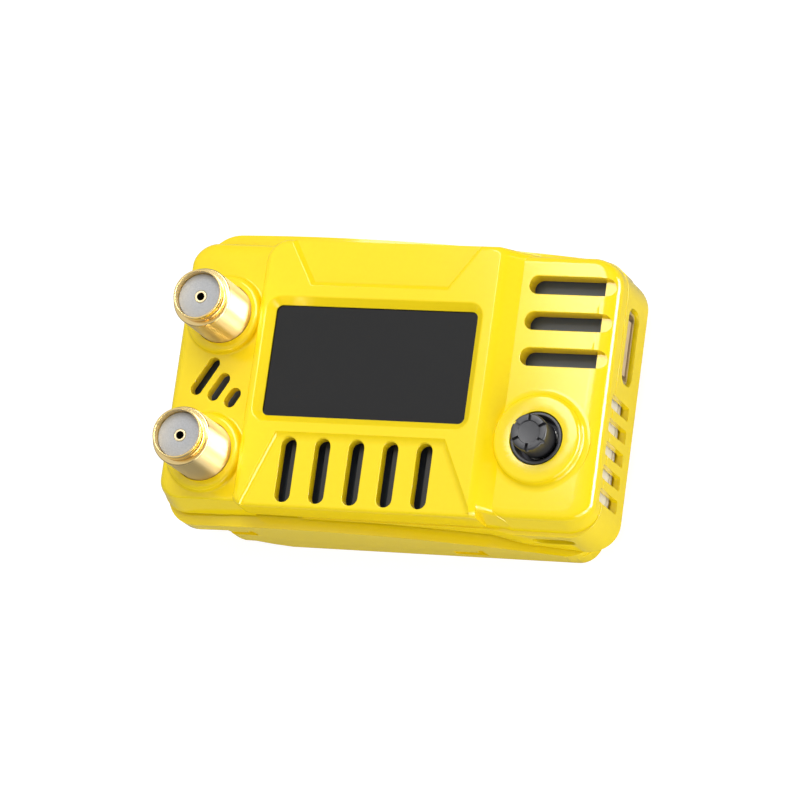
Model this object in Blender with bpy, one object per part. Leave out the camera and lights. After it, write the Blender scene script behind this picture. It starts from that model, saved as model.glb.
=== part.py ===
"""Plug-in video receiver module for the bay of a pair of video goggles.

The module lies on its back: X runs to the right along the front, Y up the display and Z out of the front.
The origin is on the rear face, in the middle of the outline. All sizes are in millimetres, and become
metres where a mesh is made.
"""
import math
from dataclasses import dataclass

import bmesh
import bpy
from mathutils import Matrix, Vector

MM = 0.001

# Clearances
FIT = 0.2
PARTING_GAP = 0.3
SWING = 0.35
STICK_FIT = 0.15

# Mesh steps and a length that is longer than any piece
CORNER_STEPS = 5
FILLET_STEPS = 4
ARC_STEPS = 16
ROUND_STEPS = 28
SMALL_ROUND_STEPS = 14
LEAST_RADIUS = 0.05
FAR = 60.0
SMOOTH_ANGLE = 35.0

# Shell walls
WALL = 1.2
SIDE_WALL = 0.8
RIGHT_ROOF = 2.0
LEFT_ROOF = 1.2
PLATFORM_ROOF = 1.7

# Display window, and the platform and bays round it
WINDOW_WIDTH = 22.5
WINDOW_HEIGHT = 12.0
WINDOW_CORNER = 0.7
PLATFORM_MARGIN = 1.65
UPPER_BAND = 7.0
LOWER_BAND = 10.0
JACK_BAY = 9.8
JOYSTICK_BAY = 13.0
BEZEL_DEPTH = 0.8
BEZEL_LIP = 0.15
PANE_RIM = 0.35
PANE_THICKNESS = 0.75
PANEL_THICKNESS = 1.3
PANEL_HEIGHT = 13.6
CUSHION_THICKNESS = 0.65

# Circuit boards, from the back
REAR_BOARD_BACK = 3.8
REAR_BOARD_THICKNESS = 0.85
BOARD_SPACING = 3.95
FRONT_BOARD_THICKNESS = 1.0
BOARD_EDGE_GAP = 0.3

# Front shell
TOP_STEP = 1.7
BOTTOM_STEP = 1.15
RIGHT_BOTTOM_STEP = 0.7
COLUMN_FLARE = 4.0
LEFT_TOP_RISE = 0.4
CREASE_BELOW_BOARD = 0.4
CREASE_STEP = 0.12
LEFT_CORNER = 3.0
RIGHT_CORNER = 3.3
LEFT_FILLET = 1.4
LEFT_DRAFT = 0.3
RIGHT_FILLET = 1.3
RIGHT_DRAFT = 0.4
PLATFORM_FILLET = 0.6
PLATFORM_UPPER_CORNER = 2.4
PLATFORM_LOWER_CORNER = 1.1
PLATFORM_DRAFT = 0.4
SLOPE_RUN = 2.3
SLOPE_FOOT_LEDGE = 0.42
SLOPE_FOOT_LEAN = 0.7
SLOPE_FOOT_ROUND = 0.8
BOARD_TO_LEFT_ROOF = 1.15
BOARD_TO_RIGHT_ROOF = 0.4
FOOT_WIDTH = 0.8
FOOT_HEIGHT = 3.6

# Recesses of the platform
UPPER_RECESS_DEPTH = 0.4
UPPER_RECESS_GAP = 2.2
UPPER_RECESS_FOOT = 15.2
UPPER_RECESS_SPREAD = 3.96
UPPER_RECESS_SIDE = 0.4
LOWER_RECESS_DEPTH = 0.5
LOWER_RECESS_GAP = 2.65
LOWER_RECESS_HEAD = 17.9
LOWER_RECESS_SPREAD = 3.85
LOWER_RECESS_SIDE = 0.85
LOWER_RECESS_ROUND = 0.4

# Slots of the front
LOWER_SLOTS = 5
LOWER_SLOT_PITCH = 3.77
LOWER_SLOT_WIDTH = 1.7
LOWER_SLOT_LENGTH = 6.95
LOWER_SLOT_GAP = 2.3
RIGHT_SLOTS = 3
RIGHT_SLOT_PITCH = 3.85
RIGHT_SLOT_WIDTH = 1.95
RIGHT_SLOT_LENGTH = 9.35
RIGHT_SLOT_END = 0.55
RIGHT_SLOT_TOP = 3.55
RIGHT_SLOT_POCKET = 1.3
RIGHT_SLOT_POCKET_DEPTH = 0.95
DIAGONAL_SLOT_WIDTH = 1.3
DIAGONAL_SLOT_LEAN = 61.0
DIAGONAL_SLOT_SPREAD = 1.7
DIAGONAL_SLOT_FALL = 1.1
DIAGONAL_SLOT_SHIFT = 1.25
DIAGONAL_SLOT_DROP = 0.33
DIAGONAL_SLOT_LENGTHS = (4.55, 3.3, 2.25)

# Openings of the right and lower walls
SIDE_VENTS = 5
SIDE_VENT_PITCH = 2.475
SIDE_VENT_HEIGHT = 1.45
SIDE_VENT_DEPTH = 5.9
SIDE_VENT_CORNER = 0.3
SIDE_VENT_BACK = 4.0
SIDE_VENT_BOTTOM = 2.93
PORT_SLOT_LENGTH = 8.1
PORT_SLOT_HEIGHT = 3.4
PORT_SLOT_CORNER = 1.2
KEY_SLOT_LENGTH = 4.5
KEY_SLOT_HEIGHT = 2.0
KEY_SLOT_END = 3.15
KEY_SLOT_BACK = 5.85

# Curved parting face and rear shell
PARTING_RADIUS = 95.0
PARTING_APEX_INSET = 11.9
PARTING_BELOW_BOARD = 0.3
FLANGE_THICKNESS = 1.9
FLANGE_UPPER_CORNER = 4.2
FLANGE_LOWER_CORNER = 3.5
FLANGE_RIGHT_CORNER = 3.0
FLANGE_SIDE_STEP = 0.25
INSERT_STEP = 0.2
INSERT_LEFT = 6.2
INSERT_RIGHT = 2.4
INSERT_CORNER = 0.6
INSERT_RIGHT_CORNER = 2.4
INSERT_HEEL = ((0.0, 3.7), (0.8, 1.95), (1.95, 1.9), (3.6, 0.8), (5.5, 0.0))
REAR_WALL = 1.2
LEFT_FLOOR_WALL = 1.0
LEDGE_WIDTH = 1.3
NOTCH_LENGTH = 3.4
NOTCH_SLIT = 1.1
NOTCH_BLOCK = 0.6
NOTCH_BLOCK_RISE = 0.9
NOTCH_DEPTH = 0.5
NOTCH_LEFT_HEIGHT = 4.6
NOTCH_RIGHT_HEIGHT = 1.1
NOTCH_RIGHT_OFFSET = 12.0

# Case screws
SCREW_DIAMETER = 2.0
SCREW_HEAD_DIAMETER = 3.5
SCREW_HEAD_HEIGHT = 1.2
SCREW_HEAD_BACK = 3.1
SCREW_REACH = 1.6
SCREW_DRIVE_WIDTH = 1.5
SCREW_DRIVE_DEPTH = 0.6
SCREW_BOSS_WALL = 0.8
SCREW_POST_WALL = 0.75
SCREW_LEFT = 0.8
SCREW_RIGHT = 0.3
SCREW_NECK_RISE = 1.0

# Coaxial antenna jacks
JACK_INSET = 5.25
JACK_BARREL = 6.35
JACK_LENGTH = 10.0
JACK_BASE_HEIGHT = 1.0
JACK_SEAT_GAP = 0.6
JACK_LIP = 5.36
JACK_LIP_HEIGHT = 0.9
JACK_LIP_EDGE = 0.08
JACK_GROOVE = 5.15
JACK_GROOVE_HEIGHT = 0.3
JACK_EDGE = 0.35
JACK_MOUTH = 4.95
JACK_RECESS = 0.95
JACK_CONTACT = 1.3
JACK_PIN_HOLE = 0.85
JACK_PIN_DEPTH = 3.0
JACK_BOSS = 8.5
JACK_BOSS_HEIGHT = 0.8
JACK_BOSS_ROUND = 0.55
JACK_UPPER = 4.9
JACK_LOWER = -10.05

# Joystick
JOYSTICK_INSET = 6.6
JOYSTICK_DROP = 7.1
JOYSTICK_BOSS = 9.5
JOYSTICK_BOSS_SPREAD = 0.75
JOYSTICK_BOSS_HEIGHT = 1.0
JOYSTICK_HOLE = 5.7
COLLAR_WALL = 0.45
COLLAR_MOUTH = 0.15
COLLAR_MOUTH_DEPTH = 0.8
KNOB_DIAMETER = 3.9
KNOB_STAND = 2.5
KNOB_LENGTH = 3.4
KNOB_DISH = 1.2
KNOB_DISH_DEPTH = 0.15
KNOB_EDGE = 0.2
KNOB_NOTCHES = 6
KNOB_NOTCH_WIDTH = 0.34
KNOB_NOTCH_LENGTH = 0.8
KNOB_NOTCH_DEPTH = 0.5
KNOB_SOCKET_DEPTH = 1.2
STEM_DIAMETER = 1.7
CUP_DIAMETER = 7.6
CUP_NECK = 6.4
CUP_WALL = 0.45
CUP_RISE = 1.4
CUP_DROP = 2.6
CUP_FLOOR = 0.5
COVER_THICKNESS = 0.25
COVER_HOLE = 3.8
CARRIER_WALL = 0.4
CARRIER_FLOOR = 0.35
CARRIER_TOP = 0.9
RING_WALL = 0.6
RING_HEIGHT = 1.4
PIVOT_PIN = 0.6
CROSS_PIN = 0.4
DOME_DIAMETER = 3.6
DOME_RISE = 0.4
DOME_THICKNESS = 0.12
PRESS_TRAVEL = 0.25

# Data port on the rear board
PORT_WIDTH = 7.5
PORT_HEIGHT = 2.5
PORT_DEPTH = 5.5
PORT_SHEET = 0.25
PORT_CORNER = 0.6
PORT_MOUTH_RECESS = 0.5
PORT_RISE = 4.7
TONGUE_WIDTH = 5.8
TONGUE_THICKNESS = 1.5
TONGUE_DEPTH = 4.9

# Parts on the boards
CAN_WIDTH = 12.0
CAN_HEIGHT = 9.0
CAN_DEPTH = 2.7
CAN_SHEET = 0.25
CAN_CORNER = 0.6
CAN_LEFT = 5.4
CAN_SPLIT = 1.6
HEADER_WIDTH = 1.0
HEADER_LENGTH = 11.8
CHIP_SIZE = 7.0
CHIP_THICKNESS = 1.0
CHIP_OFFSET = 14.6
CHIP_RISE = 2.0
SCREEN_THICKNESS = 0.6
SCREEN_DROP = 0.4
SCREEN_MARGIN = 0.6
SCREEN_EDGE = 0.25
SCREEN_POCKET_EDGE = 0.05
SCREEN_SLOT_WIDTH = 1.3
SCREEN_SLOT_SHIFT = 0.93
CONNECTOR_WIDTH = 8.0
CONNECTOR_HEIGHT = 2.2
CONNECTOR_THICKNESS = 0.9
CONNECTOR_GAP = 1.9
FLEX_WIDTH = 5.2
FLEX_THICKNESS = 0.12

# Sockets for the pins of the goggles' bay
BAY_PITCH = 2.54
BAY_BODY = 2.5
BAY_HOLE = 0.85
BAY_HOLE_DEPTH = 2.4
BAY_MOUTH = 0.2
BAY_OFFSET = 6.4
BAY_X = 2.0
BAY_LONG = 9
BAY_SHORT = 5

# Places that follow from the sizes
PLATFORM_WIDTH = WINDOW_WIDTH + 2 * PLATFORM_MARGIN
CASE_WIDTH = JACK_BAY + PLATFORM_WIDTH + JOYSTICK_BAY
CASE_HEIGHT = TOP_STEP + UPPER_BAND + WINDOW_HEIGHT + LOWER_BAND + BOTTOM_STEP
LEFT = -CASE_WIDTH / 2
RIGHT = CASE_WIDTH / 2
FLANGE_TOP = CASE_HEIGHT / 2
FLANGE_BOTTOM = -CASE_HEIGHT / 2
FRONT_TOP = FLANGE_TOP - TOP_STEP
FRONT_BOTTOM = FLANGE_BOTTOM + BOTTOM_STEP
COLUMN_BOTTOM = FLANGE_BOTTOM + RIGHT_BOTTOM_STEP
PLATFORM_LEFT = LEFT + JACK_BAY
PLATFORM_RIGHT = RIGHT - JOYSTICK_BAY
WINDOW_X = (PLATFORM_LEFT + PLATFORM_RIGHT) / 2
WINDOW_Y = FRONT_TOP - UPPER_BAND - WINDOW_HEIGHT / 2

REAR_BOARD_TOP = REAR_BOARD_BACK + REAR_BOARD_THICKNESS
FRONT_BOARD_BACK = REAR_BOARD_TOP + BOARD_SPACING
FRONT_BOARD_TOP = FRONT_BOARD_BACK + FRONT_BOARD_THICKNESS
CUSHION_BACK = FRONT_BOARD_TOP + FIT
PANEL_BACK = CUSHION_BACK + CUSHION_THICKNESS + FIT / 2
PANE_BACK = PANEL_BACK + PANEL_THICKNESS + FIT / 2
PANE_FRONT = PANE_BACK + PANE_THICKNESS
BEZEL_FOOT = PANE_FRONT + FIT / 2 + BEZEL_LIP
PLATFORM_LEVEL = BEZEL_FOOT + BEZEL_DEPTH
PLATFORM_CEILING = PLATFORM_LEVEL - PLATFORM_ROOF
LEFT_CEILING = FRONT_BOARD_TOP + BOARD_TO_LEFT_ROOF
LEFT_LEVEL = LEFT_CEILING + LEFT_ROOF
RIGHT_CEILING = FRONT_BOARD_TOP + BOARD_TO_RIGHT_ROOF
RIGHT_LEVEL = RIGHT_CEILING + RIGHT_ROOF
PARTING_TOP = FRONT_BOARD_TOP - PARTING_BELOW_BOARD
PARTING_APEX = LEFT + PARTING_APEX_INSET
CREASE_LEVEL = FRONT_BOARD_TOP - CREASE_BELOW_BOARD

INNER_LEFT = LEFT + WALL
INNER_RIGHT = RIGHT - SIDE_WALL
INNER_TOP = FRONT_TOP - WALL
INNER_BOTTOM = FRONT_BOTTOM + WALL
INSERT_X0 = LEFT + INSERT_LEFT
INSERT_X1 = RIGHT - INSERT_RIGHT
INSERT_Y = FLANGE_TOP - INSERT_STEP
INSERT_INNER_Y = INSERT_Y - WALL

JACK_X = LEFT + JACK_INSET
JACK_SEAT = FRONT_BOARD_TOP + FIT
JACK_TIP = JACK_SEAT + JACK_LENGTH
JACK_SHOULDER = JACK_TIP - JACK_LIP_HEIGHT - JACK_GROOVE_HEIGHT
JACKS = {"upper": WINDOW_Y + JACK_UPPER, "lower": WINDOW_Y + JACK_LOWER}

JOYSTICK_X = RIGHT - JOYSTICK_INSET
JOYSTICK_Y = WINDOW_Y - JOYSTICK_DROP
JOYSTICK_RIM = RIGHT_LEVEL + JOYSTICK_BOSS_HEIGHT
CUP_TOP = FRONT_BOARD_TOP + CUP_RISE
CUP_BACK = FRONT_BOARD_TOP - CUP_DROP
CUP_FLOOR_TOP = CUP_BACK + CUP_FLOOR
CUP_BORE = CUP_NECK / 2 - CUP_WALL
COVER_BACK = CUP_TOP + FIT / 2
COVER_FRONT = COVER_BACK + COVER_THICKNESS
COLLAR_BACK = COVER_FRONT + FIT
COLLAR_RADIUS = JOYSTICK_HOLE / 2 - FIT / 2
DOME_BACK = CUP_FLOOR_TOP + STICK_FIT
CARRIER_BACK = DOME_BACK + DOME_RISE + DOME_THICKNESS + PRESS_TRAVEL + FIT / 2
CARRIER_RADIUS = CUP_BORE - FIT
CARRIER_BORE = CARRIER_RADIUS - CARRIER_WALL
RING_RADIUS = CARRIER_BORE - FIT
RING_BORE = RING_RADIUS - RING_WALL
PIVOT_Z = CARRIER_BACK + CARRIER_FLOOR + SWING + RING_HEIGHT / 2
KNOB_TOP = JOYSTICK_RIM + KNOB_STAND
KNOB_BACK = KNOB_TOP - KNOB_LENGTH
JOYSTICK_CENTRE = (JOYSTICK_X, JOYSTICK_Y)

SCREW_XS = (PLATFORM_LEFT + SCREW_LEFT, PLATFORM_RIGHT + SCREW_RIGHT)
SCREW_HOLE = SCREW_DIAMETER + 2 * FIT
SCREW_BORE = SCREW_HEAD_DIAMETER + 2 * FIT
SCREW_SEAT = SCREW_HEAD_BACK + SCREW_HEAD_HEIGHT
SCREW_TIP = FRONT_BOARD_TOP + SCREW_REACH
BOSS_DIAMETER = SCREW_BORE + 2 * SCREW_BOSS_WALL
POST_DIAMETER = SCREW_HOLE + 2 * SCREW_POST_WALL
SCREW_YS = (INNER_BOTTOM + POST_DIAMETER / 2 + FIT, INNER_TOP - POST_DIAMETER / 2 - FIT)
SCREW_PLACES = [(x, y) for y in SCREW_YS for x in SCREW_XS]
SCREW_NECK = SCREW_SEAT + SCREW_NECK_RISE

PORT_Y = WINDOW_Y + PORT_RISE
PORT_Z = REAR_BOARD_TOP + FIT + PORT_HEIGHT / 2
PORT_X1 = RIGHT - PORT_MOUTH_RECESS
PORT_X0 = PORT_X1 - PORT_DEPTH

SLOT_TOP = WINDOW_Y - WINDOW_HEIGHT / 2 - LOWER_SLOT_GAP
SLOT_BOTTOM = SLOT_TOP - LOWER_SLOT_LENGTH
SLOT_XS = [WINDOW_X + (i - (LOWER_SLOTS - 1) / 2) * LOWER_SLOT_PITCH for i in range(LOWER_SLOTS)]
SCREEN_FRONT = PLATFORM_CEILING - SCREEN_DROP
SCREEN_POCKET_BOTTOM = SLOT_BOTTOM - SCREEN_POCKET_EDGE
PANEL_WIDTH = WINDOW_WIDTH + 2 * PANE_RIM


@dataclass
class Plan:
    """A rectangle with round corners, given from the lower left corner anticlockwise."""

    left: float
    right: float
    bottom: float
    top: float
    corners: tuple = (0, 0, 0, 0)
    flare: tuple = (0, 0)

    def outline(self, inset=0.0):
        """Points of the outline, drawn in by inset.

        A corner without a radius is one point. A flare, as run and rise, slants the lower left corner.
        """
        x0, x1 = self.left + inset, self.right - inset
        y0, y1 = self.bottom + inset, self.top - inset
        turns = ((x0, y0, 1, 1, 180), (x1, y0, -1, 1, 270), (x1, y1, -1, -1, 0), (x0, y1, 1, -1, 90))
        points = []
        for corner, (x, y, to_right, to_top, start) in zip(self.corners, turns):
            if corner == 0 and start == 180 and any(self.flare):
                points += [(x, y + self.flare[1]), (x + self.flare[0], y)]
                continue
            if corner == 0:
                points.append((x, y))
                continue
            radius = max(corner - inset, LEAST_RADIUS)
            for step in range(CORNER_STEPS + 1):
                angle = math.radians(start + 90 * step / CORNER_STEPS)
                across = x + to_right * radius + radius * math.cos(angle)
                points.append((across, y + to_top * radius + radius * math.sin(angle)))
        return points


def centred(x, y, width, height, corner=0):
    """A plan of the given size about a centre."""
    return Plan(x - width / 2, x + width / 2, y - height / 2, y + height / 2, (corner,) * 4)


def capsule(x0, y0, x1, y1, width):
    """Outline of a slot with round ends whose end centres are given."""
    lean = math.atan2(y1 - y0, x1 - x0)
    points = []
    for x, y, start in ((x0, y0, math.pi / 2), (x1, y1, -math.pi / 2)):
        for step in range(2 * CORNER_STEPS + 1):
            angle = lean + start + math.pi * step / (2 * CORNER_STEPS)
            points.append((x + width / 2 * math.cos(angle), y + width / 2 * math.sin(angle)))
    return points


def as_object(name, shape):
    """Turns a bmesh in millimetres into an object in metres."""
    bmesh.ops.recalc_face_normals(shape, faces=shape.faces)
    bmesh.ops.scale(shape, vec=(MM, MM, MM), verts=shape.verts)
    mesh = bpy.data.meshes.new(name)
    shape.to_mesh(mesh)
    shape.free()
    piece = bpy.data.objects.new(name, mesh)
    bpy.context.collection.objects.link(piece)
    return piece


def loft(name, rings):
    """Joins rings of equal count into a closed solid with flat ends."""
    shape = bmesh.new()
    rows = [[shape.verts.new(point) for point in ring] for ring in rings]
    for low, high in zip(rows, rows[1:]):
        for i in range(len(low)):
            j = (i + 1) % len(low)
            shape.faces.new((low[i], low[j], high[j], high[i]))
    shape.faces.new(rows[0])
    shape.faces.new(rows[-1])
    return as_object(name, shape)


def prism(name, outline, start, end, axis="Z"):
    """Extrudes an outline along an axis. Outlines are (x, y), (y, z) or (x, z) for Z, X and Y."""
    place = {
        "Z": lambda u, v, w: (u, v, w),
        "X": lambda u, v, w: (w, u, v),
        "Y": lambda u, v, w: (u, w, v),
    }[axis]
    return loft(name, [[place(u, v, w) for u, v in outline] for w in (start, end)])


def block(name, plan, back, front):
    """A straight block over a plan."""
    return prism(name, plan.outline(), back, front)


def filleted_block(name, plan, front, fillet, draft):
    """A block over a plan, from the back up: a set-in foot, a crease, a drafted wall and a rounded edge."""
    sections = [(0.0, CREASE_STEP), (CREASE_LEVEL, CREASE_STEP), (CREASE_LEVEL, 0.0)]
    for step in range(FILLET_STEPS + 1):
        turn = math.pi / 2 * step / FILLET_STEPS
        sections.append((front - fillet + fillet * math.sin(turn), draft + fillet * (1 - math.cos(turn))))
    return loft(name, [[(x, y, level) for x, y in plan.outline(inset)] for level, inset in sections])


def turned(name, profile, centre, steps=ROUND_STEPS, hollow=False):
    """Spins a profile of (radius, z) round an upright axis. A hollow profile is a closed loop."""
    flat_start = profile[0][0] == 0 and profile[0][1] == profile[1][1]
    flat_end = profile[-1][0] == 0 and profile[-1][1] == profile[-2][1]
    shape = bmesh.new()
    rows = []
    for radius, level in profile[int(flat_start):len(profile) - int(flat_end)]:
        angles = [2 * math.pi * i / steps for i in range(steps if radius else 1)]
        rows.append([shape.verts.new((centre[0] + radius * math.cos(angle),
                                      centre[1] + radius * math.sin(angle), level)) for angle in angles])
    pairs = list(zip(rows, rows[1:]))
    if hollow:
        pairs.append((rows[-1], rows[0]))
    for low, high in pairs:
        for i in range(steps):
            j = (i + 1) % steps
            corners = [low[i % len(low)], low[j % len(low)], high[j % len(high)], high[i % len(high)]]
            shape.faces.new(list(dict.fromkeys(corners)))
    if flat_start:
        shape.faces.new(rows[0])
    if flat_end:
        shape.faces.new(rows[-1])
    return as_object(name, shape)


def disc(name, centre, diameter, back, front, steps=ROUND_STEPS):
    """An upright cylinder."""
    radius = diameter / 2
    return turned(name, [(0, back), (radius, back), (radius, front), (0, front)], centre, steps)


def tube(name, centre, outer, inner, back, front, steps=ROUND_STEPS):
    """An upright tube of the given radii."""
    profile = [(inner, back), (outer, back), (outer, front), (inner, front)]
    return turned(name, profile, centre, steps, hollow=True)


def rod(name, centre, axis, reach, diameter):
    """A lying pin through a point, along X or Y, that reaches as far both ways."""
    x, y, z = centre
    across, along = (y, x) if axis == "X" else (x, y)
    count = SMALL_ROUND_STEPS
    angles = [2 * math.pi * i / count for i in range(count)]
    outline = [(across + diameter / 2 * math.cos(a), z + diameter / 2 * math.sin(a)) for a in angles]
    return prism(name, outline, along - reach, along + reach, axis)


def combine(body, tools, operation):
    """Applies Boolean steps to a body and removes the tools."""
    for tool in tools:
        step = body.modifiers.new(operation, "BOOLEAN")
        step.operation = operation
        step.solver = "EXACT"
        step.object = tool
        view = bpy.context.evaluated_depsgraph_get()
        result = bpy.data.meshes.new_from_object(body.evaluated_get(view))
        body.modifiers.clear()
        body.data = result
        bpy.data.objects.remove(tool)
    return body


def add(body, *tools):
    """Joins tools to a body."""
    return combine(body, tools, "UNION")


def cut(body, *tools):
    """Cuts tools out of a body."""
    return combine(body, tools, "DIFFERENCE")


def keep(body, *tools):
    """Keeps what a body shares with each tool."""
    return combine(body, tools, "INTERSECT")


def finish(piece, colour, roughness, metallic=0.0, smooth_angle=None):
    """Gives a piece its own material, from a linear colour, and its shading."""
    material = bpy.data.materials.new(piece.name)
    material.use_nodes = True
    surface = material.node_tree.nodes["Principled BSDF"]
    surface.inputs["Base Color"].default_value = (*colour, 1.0)
    surface.inputs["Roughness"].default_value = roughness
    surface.inputs["Metallic"].default_value = metallic
    piece.data.name = piece.name
    piece.data.materials.clear()
    piece.data.materials.append(material)
    if smooth_angle is not None:
        piece.data.shade_smooth()
        piece.data.set_sharp_from_angle(angle=math.radians(smooth_angle))
    return piece


def hang_on(piece, point):
    """Moves a piece's origin to a point in millimetres, with its shape left in place."""
    place = Vector(point) * MM
    piece.data.transform(Matrix.Translation(-place))
    piece.location = place
    return piece


YELLOW = (1.0, 0.74, 0.02)
GOLD = (0.95, 0.72, 0.33)
DARK_GREY = (0.045, 0.045, 0.05)
BLACK = (0.012, 0.012, 0.013)
STEEL = (0.72, 0.70, 0.66)
WHITE = (0.85, 0.84, 0.80)
AMBER = (0.35, 0.12, 0.02)
TAN = (0.6, 0.45, 0.27)

# Roughness of the finishes, and the metallic value of metal
GLASSY = 0.08
POLISHED = 0.2
SATIN = 0.35
MATT = 0.5
FOAMED = 0.9
METAL = 1.0


def parting_height(x, drop=0.0):
    """Height of the curved parting face at x, lowered by drop."""
    sag = PARTING_RADIUS - math.sqrt(PARTING_RADIUS ** 2 - (x - PARTING_APEX) ** 2)
    return PARTING_TOP - sag - drop


def parting_run(x0, x1, drop=0.0):
    """Points along the parting face from x0 to x1."""
    xs = [x0 + (x1 - x0) * i / ARC_STEPS for i in range(ARC_STEPS + 1)]
    return [(x, parting_height(x, drop)) for x in xs]


def platform_ring(level, inset=0.0):
    """Outline of the display platform at a height: its right side slopes down to the joystick column."""
    depth = PLATFORM_LEVEL - level
    slope = SLOPE_RUN / (PLATFORM_LEVEL - RIGHT_LEVEL)
    left = PLATFORM_LEFT - PLATFORM_DRAFT * min(depth / (PLATFORM_LEVEL - LEFT_LEVEL), 1.0)
    right = PLATFORM_RIGHT + slope * min(depth, PLATFORM_LEVEL - RIGHT_CEILING)
    lower, upper = PLATFORM_LOWER_CORNER, PLATFORM_UPPER_CORNER
    plan = Plan(left, right, FRONT_BOTTOM, FRONT_TOP, (lower, lower, upper / 2, upper))
    return [(x, y, level) for x, y in plan.outline(inset)]


def platform():
    """The raised block round the display, with a rounded front edge."""
    rings = [platform_ring(0.0, CREASE_STEP), platform_ring(CREASE_LEVEL, CREASE_STEP)]
    rings += [platform_ring(CREASE_LEVEL), platform_ring(RIGHT_CEILING)]
    for step in range(FILLET_STEPS + 1):
        turn = math.pi / 2 * step / FILLET_STEPS
        level = PLATFORM_LEVEL - PLATFORM_FILLET * (1 - math.sin(turn))
        rings.append(platform_ring(level, PLATFORM_FILLET * (1 - math.cos(turn))))
    return loft("platform", rings)


def boss(name, centre, diameter, spread, level, height, edge):
    """A round boss on a face at a level, with a rounded rim and a filleted foot."""
    radius = diameter / 2
    top = level + height
    profile = [(0, RIGHT_CEILING), (radius + spread, RIGHT_CEILING), (radius + spread, level)]
    foot = height - edge
    for step in range(1, FILLET_STEPS + 1):
        turn = math.pi / 2 * step / FILLET_STEPS
        profile.append((radius + spread * (1 - math.sin(turn)), level + foot * (1 - math.cos(turn))))
    for step in range(1, FILLET_STEPS + 1):
        turn = math.pi / 2 * step / FILLET_STEPS
        profile.append((radius - edge * (1 - math.cos(turn)), top - edge * (1 - math.sin(turn))))
    profile.append((0, top))
    return turned(name, profile, centre)


def trapezoid(foot_y, foot_width, end_y, end_width, spread):
    """Outline that runs from a straight edge and widens to an end, drawn out by spread."""
    lean = (end_width - foot_width) / 2 / (end_y - foot_y)
    back = math.copysign(spread, end_y - foot_y)
    near = foot_width / 2 - lean * back + spread
    far = end_width / 2 + spread
    y = foot_y - back
    return [(WINDOW_X - near, y), (WINDOW_X + near, y), (WINDOW_X + far, end_y), (WINDOW_X - far, end_y)]


def recess(name, foot_y, foot_width, end_y, end_width, depth, side):
    """Cutter for a recess of the platform, whose sides slant out by a width up to the face."""
    rings = []
    for spread, level in ((0.0, PLATFORM_LEVEL - depth), (2 * side, PLATFORM_LEVEL + depth)):
        outline = trapezoid(foot_y, foot_width, end_y, end_width, spread)
        rings.append([(x, y, level) for x, y in outline])
    return loft(name, rings)


def edge_round(name, y, level, radius, x0, x1):
    """Cutter that rounds the front edge of a wall that faces -Y."""
    outline = [(y - radius, level + radius), (y + radius, level + radius)]
    for step in range(FILLET_STEPS + 1):
        turn = math.pi / 2 * step / FILLET_STEPS
        outline.append((y + radius * (1 - math.sin(turn)), level - radius * (1 - math.cos(turn))))
    outline.append((y - radius, level - radius))
    return prism(name, outline, x0, x1, "X")


def slope_foot():
    """Cutter that rounds the lower end of the slope over to the lower edge of the joystick column."""
    slope = SLOPE_RUN / (PLATFORM_LEVEL - RIGHT_LEVEL)
    start = PLATFORM_RIGHT + slope * LOWER_RECESS_DEPTH
    rings = []
    for x, front in ((start, PLATFORM_LEVEL - LOWER_RECESS_DEPTH), (PLATFORM_RIGHT + SLOPE_RUN, RIGHT_LEVEL),
                     (PLATFORM_RIGHT + COLUMN_FLARE, RIGHT_LEVEL)):
        share = (x - PLATFORM_RIGHT) / COLUMN_FLARE
        foot = FRONT_BOTTOM + (COLUMN_BOTTOM - FRONT_BOTTOM) * share
        line = [(foot - WALL, CREASE_LEVEL), (foot + SLOPE_FOOT_LEDGE, CREASE_LEVEL)]
        for step in range(FILLET_STEPS + 1):
            turn = math.pi / 2 * step / FILLET_STEPS
            y = foot + SLOPE_FOOT_LEDGE + SLOPE_FOOT_LEAN + SLOPE_FOOT_ROUND * (1 - math.cos(turn))
            line.append((y, front - SLOPE_FOOT_ROUND * (1 - math.sin(turn))))
        line += [(line[-1][0], PLATFORM_LEVEL + WALL), (foot - WALL, PLATFORM_LEVEL + WALL)]
        rings.append([(x, y, level) for y, level in line])
    return loft("slope_foot", rings)


def front_outside():
    """The front shell's outer form: jack side, display platform and joystick column."""
    left_end = PLATFORM_LEFT + PLATFORM_UPPER_CORNER / 2
    left = Plan(LEFT, left_end, FRONT_BOTTOM, FRONT_TOP + LEFT_TOP_RISE, (LEFT_CORNER, 0, 0, LEFT_CORNER))
    corners = (0, RIGHT_CORNER, RIGHT_CORNER, 0)
    flare = (COLUMN_FLARE, FRONT_BOTTOM - COLUMN_BOTTOM + FIT)
    right = Plan(PLATFORM_RIGHT - FIT, RIGHT, COLUMN_BOTTOM, FRONT_TOP, corners, flare)
    shell = filleted_block("front_shell", left, LEFT_LEVEL, LEFT_FILLET, LEFT_DRAFT)
    add(shell, filleted_block("column", right, RIGHT_LEVEL, RIGHT_FILLET, RIGHT_DRAFT), platform())
    for side, y in JACKS.items():
        spread = JACK_BOSS_ROUND / 2
        add(shell, boss(f"jack_boss_{side}", (JACK_X, y), JACK_BOSS, spread, LEFT_LEVEL,
                        JACK_BOSS_HEIGHT, JACK_BOSS_ROUND))
    add(shell, boss("joystick_boss", JOYSTICK_CENTRE, JOYSTICK_BOSS, JOYSTICK_BOSS_SPREAD, RIGHT_LEVEL,
                    JOYSTICK_BOSS_HEIGHT, JOYSTICK_BOSS_HEIGHT / 2))
    cut(shell, slope_foot())
    above = parting_run(-FAR, FAR) + [(FAR, FAR), (-FAR, FAR)]
    return keep(shell, prism("above_parting", above, -FAR, FAR, "Y"))


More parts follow.
